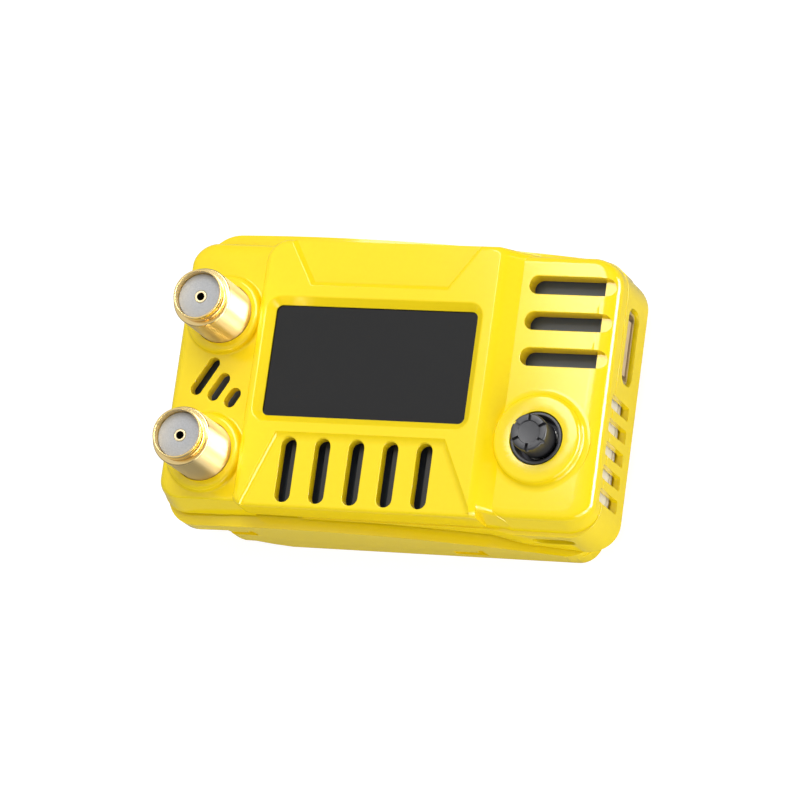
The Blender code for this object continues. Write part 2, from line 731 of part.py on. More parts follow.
def hollow_front(shell):
    """Cuts the hollow of the front shell and stands the screw posts in it."""
    left_corner, right_corner = LEFT_CORNER - WALL, RIGHT_CORNER - WALL
    left = Plan(INNER_LEFT, WINDOW_X, INNER_BOTTOM, INNER_TOP, (left_corner, 0, 0, left_corner))
    centre = Plan(PLATFORM_LEFT + WALL, PLATFORM_RIGHT - WALL, INNER_BOTTOM, INNER_TOP)
    column_bottom = COLUMN_BOTTOM + WALL
    right = Plan(WINDOW_X, INNER_RIGHT - FOOT_WIDTH, column_bottom, INNER_TOP)
    side = Plan(PLATFORM_RIGHT, INNER_RIGHT, column_bottom, INNER_TOP, (0, right_corner, right_corner, 0))
    cut(shell, block("left_hollow", left, -FIT, LEFT_CEILING))
    cut(shell, block("right_hollow", right, -FIT, RIGHT_CEILING))
    cut(shell, block("side_hollow", side, FOOT_HEIGHT, RIGHT_CEILING))
    cut(shell, block("centre_hollow", centre, -FIT, PLATFORM_CEILING))
    pocket = Plan(SLOT_XS[0] - LOWER_SLOT_WIDTH, SLOT_XS[-1] + LOWER_SLOT_WIDTH, SCREEN_POCKET_BOTTOM,
                  INNER_BOTTOM + FIT)
    cut(shell, block("screen_pocket", pocket, SCREEN_FRONT - SCREEN_THICKNESS - FIT, PLATFORM_CEILING))
    post_back = FRONT_BOARD_TOP + FIT
    hole_end = SCREW_TIP + FIT
    for x, y in SCREW_PLACES:
        add(shell, disc("post", (x, y), POST_DIAMETER, post_back, hole_end + WALL / 2, SMALL_ROUND_STEPS))
    for x, y in SCREW_PLACES:
        cut(shell, disc("post_hole", (x, y), SCREW_HOLE, CUP_BACK, hole_end, SMALL_ROUND_STEPS))


def cut_display(shell):
    """Cuts the window with its slanted bezel, the seats behind it and the two recesses."""
    rings = []
    for level, spread in ((BEZEL_FOOT, 0.0), (PLATFORM_LEVEL + BEZEL_DEPTH, 2 * BEZEL_DEPTH)):
        plan = centred(WINDOW_X, WINDOW_Y, WINDOW_WIDTH + 2 * spread, WINDOW_HEIGHT + 2 * spread,
                       WINDOW_CORNER + spread)
        rings.append([(x, y, level) for x, y in plan.outline()])
    rings.insert(0, [(x, y, PANE_BACK) for x, y, _ in rings[0]])
    cut(shell, loft("bezel", rings))
    pane = centred(WINDOW_X, WINDOW_Y, PANEL_WIDTH + 2 * FIT, WINDOW_HEIGHT + 2 * PANE_RIM + 2 * FIT)
    panel = centred(WINDOW_X, WINDOW_Y, PANEL_WIDTH + 2 * FIT, PANEL_HEIGHT + 2 * FIT)
    cut(shell, block("pane_seat", pane, CUSHION_BACK, PANE_FRONT + FIT / 2))
    cut(shell, block("panel_seat", panel, CUSHION_BACK, PANE_BACK))
    upper_foot = WINDOW_Y + WINDOW_HEIGHT / 2 + UPPER_RECESS_GAP
    cut(shell, recess("upper_recess", upper_foot, UPPER_RECESS_FOOT, FRONT_TOP + WALL,
                      UPPER_RECESS_FOOT + 2 * UPPER_RECESS_SPREAD, UPPER_RECESS_DEPTH, UPPER_RECESS_SIDE))
    lower_foot = WINDOW_Y - WINDOW_HEIGHT / 2 - LOWER_RECESS_GAP
    end_width = LOWER_RECESS_HEAD + 2 * LOWER_RECESS_SPREAD
    cut(shell, recess("lower_recess", lower_foot, LOWER_RECESS_HEAD, FRONT_BOTTOM - WALL, end_width,
                      LOWER_RECESS_DEPTH, LOWER_RECESS_SIDE))
    reach = end_width / 2 - LOWER_RECESS_ROUND / 2
    cut(shell, edge_round("recess_edge", FRONT_BOTTOM, PLATFORM_LEVEL - LOWER_RECESS_DEPTH,
                          LOWER_RECESS_ROUND, WINDOW_X - reach, WINDOW_X + reach))


def cut_slots(shell):
    """Cuts the cooling slots of the front."""
    half = LOWER_SLOT_WIDTH / 2
    for x in SLOT_XS:
        outline = capsule(x, SLOT_BOTTOM + half, x, SLOT_TOP - half, LOWER_SLOT_WIDTH)
        cut(shell, prism("lower_slot", outline, PLATFORM_CEILING - FIT, PLATFORM_LEVEL + FIT))
    half = RIGHT_SLOT_WIDTH / 2
    x1 = RIGHT - RIGHT_SLOT_END
    for i in range(RIGHT_SLOTS):
        y = FRONT_TOP - RIGHT_SLOT_TOP - i * RIGHT_SLOT_PITCH
        x0 = x1 - RIGHT_SLOT_LENGTH
        pocket_floor = RIGHT_LEVEL - RIGHT_SLOT_POCKET_DEPTH
        through = Plan(x0, x1 - RIGHT_SLOT_POCKET, y - half, y + half, (half, 0, 0, half))
        cut(shell, block("right_slot", through, RIGHT_CEILING - FIT, RIGHT_LEVEL - FIT))
        outline = capsule(x0 + half, y, x1 - half, y, RIGHT_SLOT_WIDTH)
        cut(shell, prism("right_slot_face", outline, pocket_floor, RIGHT_LEVEL + FIT))
    lean = math.radians(DIAGONAL_SLOT_LEAN)
    centre_y = (JACKS["upper"] + JACKS["lower"]) / 2
    for i, length in enumerate(DIAGONAL_SLOT_LENGTHS):
        x = JACK_X - DIAGONAL_SLOT_SHIFT + i * DIAGONAL_SLOT_SPREAD
        y = centre_y - DIAGONAL_SLOT_DROP + DIAGONAL_SLOT_FALL * (1 - i)
        run = (length - DIAGONAL_SLOT_WIDTH) / 2
        dx, dy = run * math.cos(lean), run * math.sin(lean)
        outline = capsule(x - dx, y - dy, x + dx, y + dy, DIAGONAL_SLOT_WIDTH)
        cut(shell, prism("diagonal_slot", outline, LEFT_CEILING - FIT, LEFT_LEVEL + FIT))


def cut_walls(shell):
    """Cuts the openings of the right wall and the slot in the lower wall."""
    inside = INNER_RIGHT - FOOT_WIDTH - FIT
    port = centred(PORT_Y, PORT_Z, PORT_SLOT_LENGTH, PORT_SLOT_HEIGHT, PORT_SLOT_CORNER)
    cut(shell, prism("port_slot", port.outline(), inside, RIGHT + FIT, "X"))
    vent_z = SIDE_VENT_BACK + SIDE_VENT_DEPTH / 2
    for i in range(SIDE_VENTS):
        y = INNER_BOTTOM + SIDE_VENT_BOTTOM + i * SIDE_VENT_PITCH
        vent = centred(y, vent_z, SIDE_VENT_HEIGHT, SIDE_VENT_DEPTH, SIDE_VENT_CORNER)
        cut(shell, prism("side_vent", vent.outline(), INNER_RIGHT - FIT, RIGHT + FIT, "X"))
    half = KEY_SLOT_HEIGHT / 2
    x1 = RIGHT - KEY_SLOT_END - half
    z = KEY_SLOT_BACK + half
    slot = capsule(x1 - KEY_SLOT_LENGTH + KEY_SLOT_HEIGHT, z, x1, z, KEY_SLOT_HEIGHT)
    cut(shell, prism("key_slot", slot, COLUMN_BOTTOM - FIT, COLUMN_BOTTOM + WALL + FIT, "Y"))


def cut_fittings(shell):
    """Cuts the seats and holes of the jacks and the joystick."""
    base = JACK_BARREL + JACK_SEAT_GAP
    base_front = JACK_SEAT + JACK_BASE_HEIGHT + FIT
    for y in JACKS.values():
        cut(shell, block("jack_seat", centred(JACK_X, y, base, base), CUP_BACK, base_front))
        cut(shell, disc("jack_hole", (JACK_X, y), JACK_BARREL + 2 * FIT, CUP_BACK, JACK_TIP))
    cut(shell, disc("cup_seat", JOYSTICK_CENTRE, CUP_DIAMETER + 2 * FIT, CUP_BACK, COVER_FRONT + FIT))
    cut(shell, disc("knob_hole", JOYSTICK_CENTRE, JOYSTICK_HOLE, CUP_BACK, KNOB_TOP))


def make_front_shell():
    """The yellow front half of the case."""
    shell = front_outside()
    hollow_front(shell)
    cut_display(shell)
    cut_slots(shell)
    cut_walls(shell)
    cut_fittings(shell)
    return finish(shell, YELLOW, SATIN, smooth_angle=SMOOTH_ANGLE)


def rear_outside():
    """The rear shell's outer form: a curved flange and the insert behind it."""
    x0 = LEFT + FLANGE_SIDE_STEP
    drop = PARTING_GAP + FLANGE_THICKNESS
    band = parting_run(x0, INSERT_X1, PARTING_GAP) + parting_run(INSERT_X1, x0, drop)
    shell = prism("rear_shell", band, FLANGE_BOTTOM, FLANGE_TOP, "Y")
    corners = (FLANGE_LOWER_CORNER, FLANGE_RIGHT_CORNER, FLANGE_RIGHT_CORNER, FLANGE_UPPER_CORNER)
    keep(shell, block("flange_plan", Plan(x0, INSERT_X1, FLANGE_BOTTOM, FLANGE_TOP, corners), -FAR, FAR))
    profile = parting_run(INSERT_X0, INSERT_X1, PARTING_GAP + FLANGE_THICKNESS / 2)
    profile += [(INSERT_X1, 0.0)] + [(INSERT_X0 + run, level) for run, level in reversed(INSERT_HEEL)]
    insert = prism("insert", profile, -INSERT_Y, INSERT_Y, "Y")
    corners = (INSERT_CORNER, INSERT_RIGHT_CORNER, INSERT_RIGHT_CORNER, INSERT_CORNER)
    keep(insert, block("insert_plan", Plan(INSERT_X0, INSERT_X1, -INSERT_Y, INSERT_Y, corners), -FAR, FAR))
    return add(shell, insert)


def hollow_rear(shell):
    """Cuts the hollow of the rear shell and stands the screw bosses and board ledges in it."""
    floor_drop = PARTING_GAP + FLANGE_THICKNESS - LEFT_FLOOR_WALL
    left = Plan(LEFT + FLANGE_SIDE_STEP + WALL, INSERT_X0 + 2 * WALL, -INSERT_INNER_Y, INSERT_INNER_Y,
                (FLANGE_LOWER_CORNER - WALL, 0, 0, FLANGE_UPPER_CORNER - WALL))
    floor = parting_height(LEFT, floor_drop)
    cut(shell, block("left_hollow", left, floor, FAR))
    x0, x1 = INSERT_X0 + WALL, INSERT_X1 - WALL
    slant_foot = INSERT_X0 + INSERT_HEEL[-1][0]
    slant_top = INSERT_HEEL[0][1] + WALL / 2
    profile = [(x0, FAR), (x0, slant_top), (slant_foot, REAR_WALL), (x1, REAR_WALL), (x1, FAR)]
    cut(shell, prism("insert_hollow", profile, -INSERT_INNER_Y, INSERT_INNER_Y, "Y"))
    ledge_top = REAR_BOARD_BACK - FIT
    x0, x1 = SCREW_XS
    for side in (-1, 1):
        y0, y1 = sorted((side * (INSERT_INNER_Y - LEDGE_WIDTH), side * (INSERT_INNER_Y + WALL / 2)))
        plan = Plan(x0 + BOSS_DIAMETER, x1 - BOSS_DIAMETER, y0, y1)
        add(shell, block("ledge", plan, REAR_WALL / 2, ledge_top))
    boss_front = FRONT_BOARD_BACK - FIT
    for x, y in SCREW_PLACES:
        boss_back = REAR_WALL / 2
        wide, slim = BOSS_DIAMETER / 2, POST_DIAMETER / 2
        profile = [(0, boss_back), (wide, boss_back), (wide, SCREW_NECK), (slim, SCREW_NECK),
                   (slim, boss_front), (0, boss_front)]
        add(shell, turned("screw_boss", profile, (x, y), SMALL_ROUND_STEPS))
    below = [(INSERT_X0 + run, level - LEAST_RADIUS) for run, level in INSERT_HEEL]
    below += [(below[-1][0], -REAR_WALL), (below[0][0], -REAR_WALL)]
    cut(shell, prism("below_heel", below, -INSERT_INNER_Y, INSERT_INNER_Y, "Y"))
    for x, y in SCREW_PLACES:
        cut(shell, disc("screw_bore", (x, y), SCREW_BORE, -FIT, SCREW_SEAT + FIT, SMALL_ROUND_STEPS),
            disc("screw_hole", (x, y), SCREW_HOLE, REAR_WALL, boss_front + FIT, SMALL_ROUND_STEPS))


def bay_plan(count, y, gap):
    """Plan of a bay socket with a number of ways, widened by a gap."""
    return centred(BAY_X, y, count * BAY_PITCH + 2 * gap, BAY_BODY + 2 * gap)


def cut_rear(shell):
    """Cuts the mouths of the bay sockets and the snap notches of the upper and lower walls."""
    for count, y in ((BAY_LONG, -BAY_OFFSET), (BAY_SHORT, BAY_OFFSET)):
        cut(shell, block("bay_mouth", bay_plan(count, y, FIT), -FIT, REAR_WALL + FIT))
    right_notch = INSERT_X1 - NOTCH_RIGHT_OFFSET - NOTCH_LENGTH
    places = ((INSERT_X0, NOTCH_LEFT_HEIGHT), (right_notch, NOTCH_RIGHT_HEIGHT))
    for side in (-1, 1):
        y0, y1 = sorted((side * (INSERT_Y - NOTCH_DEPTH), side * (FLANGE_TOP + FIT)))
        for x, z in places:
            slit = Plan(x - FIT, x + NOTCH_LENGTH, z, z + NOTCH_SLIT)
            end = x + NOTCH_LENGTH - LEAST_RADIUS
            stop = Plan(end - NOTCH_BLOCK, end, z - LEAST_RADIUS, z + NOTCH_SLIT + NOTCH_BLOCK_RISE)
            cut(shell, prism("slit", slit.outline(), y0, y1, "Y"), prism("stop", stop.outline(), y0, y1, "Y"))


def make_rear_shell():
    """The yellow rear half of the case, which enters the bay."""
    shell = rear_outside()
    hollow_rear(shell)
    cut_rear(shell)
    return finish(shell, YELLOW, SATIN, smooth_angle=SMOOTH_ANGLE)


def make_boards():
    """The two circuit boards and the header that joins them."""
    inner = Plan(INNER_LEFT + BOARD_EDGE_GAP, INNER_RIGHT - BOARD_EDGE_GAP, INNER_BOTTOM + BOARD_EDGE_GAP,
                 INNER_TOP - BOARD_EDGE_GAP, (LEFT_CORNER, RIGHT_CORNER, RIGHT_CORNER, LEFT_CORNER))
    front = block("front_board", inner, FRONT_BOARD_BACK, FRONT_BOARD_TOP)
    for x, y in SCREW_PLACES:
        cut(front, disc("hole", (x, y), SCREW_HOLE, 0.0, FAR, SMALL_ROUND_STEPS))
    cut(front, disc("cup_hole", JOYSTICK_CENTRE, CUP_NECK + 2 * FIT, 0.0, FAR))
    finish(front, DARK_GREY, MATT)

    left = SCREW_XS[0] + BOSS_DIAMETER / 2 + BOARD_EDGE_GAP
    reach = INSERT_INNER_Y - BOARD_EDGE_GAP
    plan = Plan(left, INNER_RIGHT - BOARD_EDGE_GAP, -min(reach, -INNER_BOTTOM), min(reach, INNER_TOP),
                (0, RIGHT_CORNER, RIGHT_CORNER, 0))
    rear = block("rear_board", plan, REAR_BOARD_BACK, REAR_BOARD_TOP)
    for y in SCREW_YS:
        cut(rear, disc("notch", (SCREW_XS[1], y), BOSS_DIAMETER + 2 * FIT, 0.0, FAR, SMALL_ROUND_STEPS))
    finish(rear, WHITE, MATT)

    edge = INNER_RIGHT - BOARD_EDGE_GAP
    y = INNER_BOTTOM + SIDE_VENT_BOTTOM + (SIDE_VENTS - 1) / 2 * SIDE_VENT_PITCH
    header = centred(edge - HEADER_WIDTH / 2, y, HEADER_WIDTH, HEADER_LENGTH)
    finish(block("board_link_header", header, REAR_BOARD_TOP + FIT, FRONT_BOARD_BACK - FIT), WHITE, MATT)


def make_display():
    """The window pane, the display panel behind it, its cushion, flex and connector, and the vent screen."""
    pane_height = WINDOW_HEIGHT + 2 * PANE_RIM
    pane = centred(WINDOW_X, WINDOW_Y, PANEL_WIDTH, pane_height, PANE_RIM)
    finish(block("display_window", pane, PANE_BACK, PANE_FRONT), DARK_GREY, GLASSY)
    panel = centred(WINDOW_X, WINDOW_Y, PANEL_WIDTH, PANEL_HEIGHT)
    finish(block("display_panel", panel, PANEL_BACK, PANEL_BACK + PANEL_THICKNESS), BLACK, POLISHED)
    cushion = centred(WINDOW_X, WINDOW_Y, PANEL_WIDTH - WALL, PANEL_HEIGHT - WALL)
    finish(block("display_cushion", cushion, CUSHION_BACK, CUSHION_BACK + CUSHION_THICKNESS), BLACK, FOAMED)

    panel_edge = WINDOW_Y + PANEL_HEIGHT / 2
    foot = panel_edge + CONNECTOR_GAP
    plan = Plan(WINDOW_X - CONNECTOR_WIDTH / 2, WINDOW_X + CONNECTOR_WIDTH / 2, foot, foot + CONNECTOR_HEIGHT)
    socket_back = FRONT_BOARD_TOP + FIT
    socket = block("display_connector", plan, socket_back, socket_back + CONNECTOR_THICKNESS)
    finish(socket, WHITE, MATT)
    start = PANEL_BACK + PANEL_THICKNESS / 2
    end = socket_back + CONNECTOR_THICKNESS / 2
    run = CONNECTOR_GAP - 2 * FIT
    centre_line = []
    for step in range(ARC_STEPS // 2 + 1):
        share = step / (ARC_STEPS // 2)
        y = panel_edge + FIT + run * share
        centre_line.append((y, start + (end - start) * (1 - math.cos(math.pi * share)) / 2))
    outline = [(y, z + FLEX_THICKNESS / 2) for y, z in centre_line]
    outline += [(y, z - FLEX_THICKNESS / 2) for y, z in reversed(centre_line)]
    flex = prism("display_flex", outline, WINDOW_X - FLEX_WIDTH / 2, WINDOW_X + FLEX_WIDTH / 2, "X")
    finish(flex, AMBER, SATIN)

    panel_foot = WINDOW_Y - PANEL_HEIGHT / 2
    top = min(SLOT_TOP + SCREEN_MARGIN, panel_foot - FIT)
    bottom = SCREEN_POCKET_BOTTOM + FIT
    reach = SLOT_XS[-1] - WINDOW_X + LOWER_SLOT_WIDTH - FIT
    plan = Plan(WINDOW_X - reach, WINDOW_X + reach, bottom, top, (SCREEN_EDGE,) * 4)
    screen = block("vent_screen", plan, SCREEN_FRONT - SCREEN_THICKNESS, SCREEN_FRONT)
    for x in SLOT_XS:
        start = x - SCREEN_SLOT_SHIFT - SCREEN_SLOT_WIDTH / 2
        slot = Plan(start, start + SCREEN_SLOT_WIDTH, bottom + SCREEN_EDGE, top - SCREEN_EDGE)
        cut(screen, block("slot", slot, 0.0, FAR))
    finish(screen, DARK_GREY, MATT)


def make_jack(side, y):
    """One coaxial jack that stands on the front board: barrel, insulator and centre contact."""
    centre = (JACK_X, y)
    barrel, lip, mouth = JACK_BARREL / 2, JACK_LIP / 2, JACK_MOUTH / 2
    lip_back = JACK_TIP - JACK_LIP_HEIGHT
    edge = JACK_EDGE
    base_front = JACK_SEAT + JACK_BASE_HEIGHT
    profile = [(mouth, base_front - FIT), (barrel, base_front - FIT), (barrel, JACK_SHOULDER - edge),
               (barrel - edge, JACK_SHOULDER), (JACK_GROOVE / 2, JACK_SHOULDER), (JACK_GROOVE / 2, lip_back),
               (lip, lip_back), (lip, JACK_TIP - JACK_LIP_EDGE), (lip - JACK_LIP_EDGE, JACK_TIP),
               (mouth, JACK_TIP)]
    body = turned(f"sma_body_{side}", profile, centre, hollow=True)
    base = block("base", centred(JACK_X, y, JACK_BARREL, JACK_BARREL), JACK_SEAT, base_front)
    cut(base, disc("bore", centre, JACK_MOUTH, 0.0, FAR))
    add(body, base)
    finish(body, GOLD, POLISHED, METAL, SMOOTH_ANGLE)

    gap = FIT / 2
    face = JACK_TIP - JACK_RECESS
    contact = JACK_CONTACT / 2
    back = JACK_SEAT + FIT
    insulator = tube(f"sma_insulator_{side}", centre, mouth - gap, contact + gap, back, face)
    finish(insulator, WHITE, MATT, 0.0, SMOOTH_ANGLE)
    hole = JACK_PIN_HOLE / 2
    profile = [(0, back), (contact, back), (contact, face), (hole, face), (hole, face - JACK_PIN_DEPTH),
               (0, face - JACK_PIN_DEPTH)]
    pin = turned(f"sma_contact_{side}", profile, centre, SMALL_ROUND_STEPS)
    finish(pin, GOLD, POLISHED, METAL, SMOOTH_ANGLE)


def make_switch():
    """The fixed pieces of the five-way switch: collar, cup, cover and snap dome."""
    centre = JOYSTICK_CENTRE
    bore = COLLAR_RADIUS - COLLAR_WALL
    profile = [(bore, COLLAR_BACK), (COLLAR_RADIUS, COLLAR_BACK), (COLLAR_RADIUS, JOYSTICK_RIM),
               (bore + COLLAR_MOUTH, JOYSTICK_RIM), (bore, JOYSTICK_RIM - COLLAR_MOUTH_DEPTH)]
    collar = turned("joystick_collar", profile, centre, hollow=True)
    finish(collar, DARK_GREY, SATIN, 0.0, SMOOTH_ANGLE)
    neck, rim = CUP_NECK / 2, CUP_DIAMETER / 2
    seat = FRONT_BOARD_TOP + FIT
    profile = [(0, CUP_BACK), (neck, CUP_BACK), (neck, seat), (rim, seat), (rim, CUP_TOP),
               (CUP_BORE, CUP_TOP), (CUP_BORE, CUP_FLOOR_TOP), (0, CUP_FLOOR_TOP)]
    finish(turned("joystick_base", profile, centre), BLACK, MATT, 0.0, SMOOTH_ANGLE)
    cover = tube("joystick_cover", centre, rim, COVER_HOLE / 2, COVER_BACK, COVER_FRONT)
    finish(cover, BLACK, SATIN, 0.0, SMOOTH_ANGLE)

    steps = FILLET_STEPS
    radius = DOME_DIAMETER / 2
    upper, lower = [], []
    for step in range(steps + 1):
        reach = radius * (1 - step / steps)
        rise = DOME_RISE * (1 - (reach / radius) ** 2)
        upper.append((reach, DOME_BACK + rise + DOME_THICKNESS))
        lower.append((reach, DOME_BACK + rise))
    dome = turned("joystick_snap_dome", list(reversed(lower)) + upper, centre, SMALL_ROUND_STEPS)
    finish(dome, STEEL, SATIN, METAL, SMOOTH_ANGLE)


def make_stick():
    """The moving pieces of the switch: carrier, gimbal ring, stem and knob."""
    centre = JOYSTICK_CENTRE
    pivot = (*centre, PIVOT_Z)
    floor = CARRIER_BACK + CARRIER_FLOOR
    top = PIVOT_Z + CARRIER_TOP
    profile = [(0, CARRIER_BACK), (CARRIER_RADIUS, CARRIER_BACK), (CARRIER_RADIUS, top), (CARRIER_BORE, top),
               (CARRIER_BORE, floor), (0, floor)]
    carrier = turned("joystick_carrier", profile, centre)
    cut(carrier, rod("pin_hole", pivot, "X", CARRIER_RADIUS + FIT, PIVOT_PIN + 2 * FIT))
    hang_on(finish(carrier, WHITE, MATT, 0.0, SMOOTH_ANGLE), pivot)

    half = RING_HEIGHT / 2
    ring = tube("joystick_gimbal_ring", centre, RING_RADIUS, RING_BORE, PIVOT_Z - half, PIVOT_Z + half)
    pins = rod("pins", pivot, "X", CARRIER_RADIUS - FIT / 2, PIVOT_PIN)
    cut(pins, disc("between", centre, 2 * RING_BORE + FIT, 0.0, FAR))
    add(ring, pins)
    cut(ring, rod("pin_hole", pivot, "Y", RING_RADIUS + FIT, CROSS_PIN + 2 * FIT))
    hang_on(finish(ring, STEEL, SATIN, METAL, SMOOTH_ANGLE), pivot)

    tip = KNOB_BACK + KNOB_SOCKET_DEPTH - FIT
    stem = disc("joystick_stem", centre, STEM_DIAMETER, PIVOT_Z - half, tip, SMALL_ROUND_STEPS)
    add(stem, rod("cross_pin", pivot, "Y", RING_RADIUS - FIT / 2, CROSS_PIN))
    hang_on(finish(stem, STEEL, SATIN, METAL, SMOOTH_ANGLE), pivot)

    radius = KNOB_DIAMETER / 2
    socket = STEM_DIAMETER / 2 + STICK_FIT
    socket_end = KNOB_BACK + KNOB_SOCKET_DEPTH
    profile = [(0, socket_end), (socket, socket_end), (socket, KNOB_BACK), (radius, KNOB_BACK),
               (radius, KNOB_TOP - KNOB_EDGE), (radius - KNOB_EDGE, KNOB_TOP), (KNOB_DISH, KNOB_TOP),
               (KNOB_DISH, KNOB_TOP - KNOB_DISH_DEPTH), (0, KNOB_TOP - KNOB_DISH_DEPTH)]
    knob = turned("joystick_knob", profile, centre)
    for i in range(KNOB_NOTCHES):
        angle = 2 * math.pi * (i + 0.5) / KNOB_NOTCHES
        plan = Plan(radius - KNOB_NOTCH_LENGTH, radius + FIT, -KNOB_NOTCH_WIDTH / 2, KNOB_NOTCH_WIDTH / 2)
        notch = block("notch", plan, KNOB_TOP - KNOB_NOTCH_DEPTH, KNOB_TOP + FIT)
        place = Matrix.Translation(Vector((*centre, 0.0)) * MM)
        notch.data.transform(place @ Matrix.Rotation(angle, 4, "Z"))
        cut(knob, notch)
    hang_on(finish(knob, DARK_GREY, SATIN, 0.0, SMOOTH_ANGLE), pivot)


def make_port():
    """The data port on the rear board: a folded metal mouth with a tongue in it."""
    outer = centred(PORT_Y, PORT_Z, PORT_WIDTH, PORT_HEIGHT, PORT_CORNER)
    inner = Plan(outer.left + PORT_SHEET, outer.right - PORT_SHEET, outer.bottom + PORT_SHEET,
                 outer.top - PORT_SHEET, (PORT_CORNER - PORT_SHEET,) * 4)
    shell = prism("usb_shell", outer.outline(), PORT_X0, PORT_X1, "X")
    cut(shell, prism("mouth", inner.outline(), PORT_X0 + PORT_SHEET, PORT_X1 + FIT, "X"))
    finish(shell, STEEL, SATIN, METAL, SMOOTH_ANGLE)
    tongue = centred(PORT_Y, PORT_Z, TONGUE_WIDTH, TONGUE_THICKNESS)
    start = PORT_X0 + PORT_SHEET + FIT
    finish(prism("usb_tongue", tongue.outline(), start, start + TONGUE_DEPTH, "X"), TAN, MATT)


def make_receivers():
    """The two receiver shields on the rear board and the controller on the front board."""
    left = PLATFORM_LEFT + CAN_LEFT
    back = REAR_BOARD_TOP + FIT
    for side, sign in (("upper", 1), ("lower", -1)):
        y = sign * (CAN_SPLIT + CAN_HEIGHT) / 2
        plan = centred(left + CAN_WIDTH / 2, y, CAN_WIDTH, CAN_HEIGHT, CAN_CORNER)
        can = block(f"receiver_can_{side}", plan, back, back + CAN_DEPTH)
        hollow = Plan(plan.left + CAN_SHEET, plan.right - CAN_SHEET, plan.bottom + CAN_SHEET,
                      plan.top - CAN_SHEET, (CAN_CORNER - CAN_SHEET,) * 4)
        cut(can, block("hollow", hollow, back - FIT, back + CAN_DEPTH - CAN_SHEET))
        finish(can, STEEL, SATIN, METAL)
    front = FRONT_BOARD_BACK - FIT
    chip = centred(WINDOW_X + CHIP_OFFSET, WINDOW_Y + CHIP_RISE, CHIP_SIZE, CHIP_SIZE)
    finish(block("controller_chip", chip, front - CHIP_THICKNESS, front), BLACK, MATT)


def make_bay_sockets():
    """The sockets behind the rear board that take the pins of the bay."""
    front = REAR_BOARD_BACK - FIT
    for name, count, y in (("nine", BAY_LONG, -BAY_OFFSET), ("five", BAY_SHORT, BAY_OFFSET)):
        socket = block(f"bay_socket_{name}", bay_plan(count, y, 0.0), BAY_MOUTH, front)
        for i in range(count):
            x = BAY_X + (i - (count - 1) / 2) * BAY_PITCH
            cut(socket, block("hole", centred(x, y, BAY_HOLE, BAY_HOLE), 0.0, BAY_MOUTH + BAY_HOLE_DEPTH))
        finish(socket, BLACK, MATT)


def make_screws():
    """The four case screws, driven in from the back."""
    head, shank = SCREW_HEAD_DIAMETER / 2, SCREW_DIAMETER / 2
    for number, (x, y) in enumerate(SCREW_PLACES, start=1):
        profile = [(0, SCREW_HEAD_BACK), (head - FIT, SCREW_HEAD_BACK), (head, SCREW_HEAD_BACK + FIT),
                   (head, SCREW_SEAT), (shank, SCREW_SEAT), (shank, SCREW_TIP - FIT),
                   (shank - FIT, SCREW_TIP), (0, SCREW_TIP)]
        screw = turned(f"case_screw_{number}", profile, (x, y), SMALL_ROUND_STEPS)
        width = SCREW_DRIVE_WIDTH / math.sqrt(3)
        corners = [math.radians(60 * i) for i in range(6)]
        drive = [(x + width * math.cos(angle), y + width * math.sin(angle)) for angle in corners]
        cut(screw, prism("drive", drive, 0.0, SCREW_HEAD_BACK + SCREW_DRIVE_DEPTH))
        finish(screw, DARK_GREY, SATIN, METAL, SMOOTH_ANGLE)


def main():
    """Clears the scene and makes every piece."""
    for leftover in list(bpy.data.objects):
        bpy.data.objects.remove(leftover)
    make_front_shell()
    make_rear_shell()
    make_boards()
    make_display()
    for side, y in JACKS.items():
        make_jack(side, y)
    make_switch()
    make_stick()
    make_port()
    make_receivers()
    make_bay_sockets()
    make_screws()


main()
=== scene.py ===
"""Looks of the plug-in video receiver module: a finer case, jacks and joystick, finishes and studio.

Lengths are in millimetres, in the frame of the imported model, and become metres where a mesh is made.
"""

from __future__ import annotations

import logging
import math
from collections.abc import Callable, Sequence
from dataclasses import dataclass
from enum import Enum

import bmesh
import bpy
from mathutils import Matrix, Vector

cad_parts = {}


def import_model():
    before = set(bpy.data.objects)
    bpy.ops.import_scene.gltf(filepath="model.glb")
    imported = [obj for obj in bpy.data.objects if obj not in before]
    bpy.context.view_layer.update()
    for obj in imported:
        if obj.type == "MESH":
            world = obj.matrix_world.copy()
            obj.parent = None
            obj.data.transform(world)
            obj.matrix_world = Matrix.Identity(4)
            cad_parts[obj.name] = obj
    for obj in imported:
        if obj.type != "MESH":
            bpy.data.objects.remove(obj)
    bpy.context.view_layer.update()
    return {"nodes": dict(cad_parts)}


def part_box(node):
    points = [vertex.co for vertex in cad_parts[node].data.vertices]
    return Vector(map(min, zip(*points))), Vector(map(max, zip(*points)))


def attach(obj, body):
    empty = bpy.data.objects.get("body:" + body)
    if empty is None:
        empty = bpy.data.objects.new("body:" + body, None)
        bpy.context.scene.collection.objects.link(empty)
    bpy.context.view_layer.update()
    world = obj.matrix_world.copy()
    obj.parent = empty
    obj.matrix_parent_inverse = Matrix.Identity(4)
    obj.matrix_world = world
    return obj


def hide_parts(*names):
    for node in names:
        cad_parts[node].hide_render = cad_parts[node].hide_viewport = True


log = logging.getLogger("scene")

Solid = bpy.types.Object
Tree = bpy.types.NodeTree
Socket = bpy.types.NodeSocket
Point = tuple[float, float]
Point3 = tuple[float, float, float]
Sides = tuple[float, float, float, float]
# Gives an opening's outline, drawn out by a spread.
Outline = Callable[[float], list[Point]]
# An opening's outline, where it ends and the face that it opens in.
Job = tuple[Outline, float, float]

MM = 0.001
# Clearances: between pieces, past every body, past one body, beside a rounded foot, and off a shared face.
FIT = 0.2
FAR = 60.0
CLEAR = 1.0
CLEAR_SIDE = 3.0
SKIN = 0.01
LEAST_RADIUS = 0.05
# The largest share of a side that the rounding of a corner takes.
CORNER_SHARE = 0.49
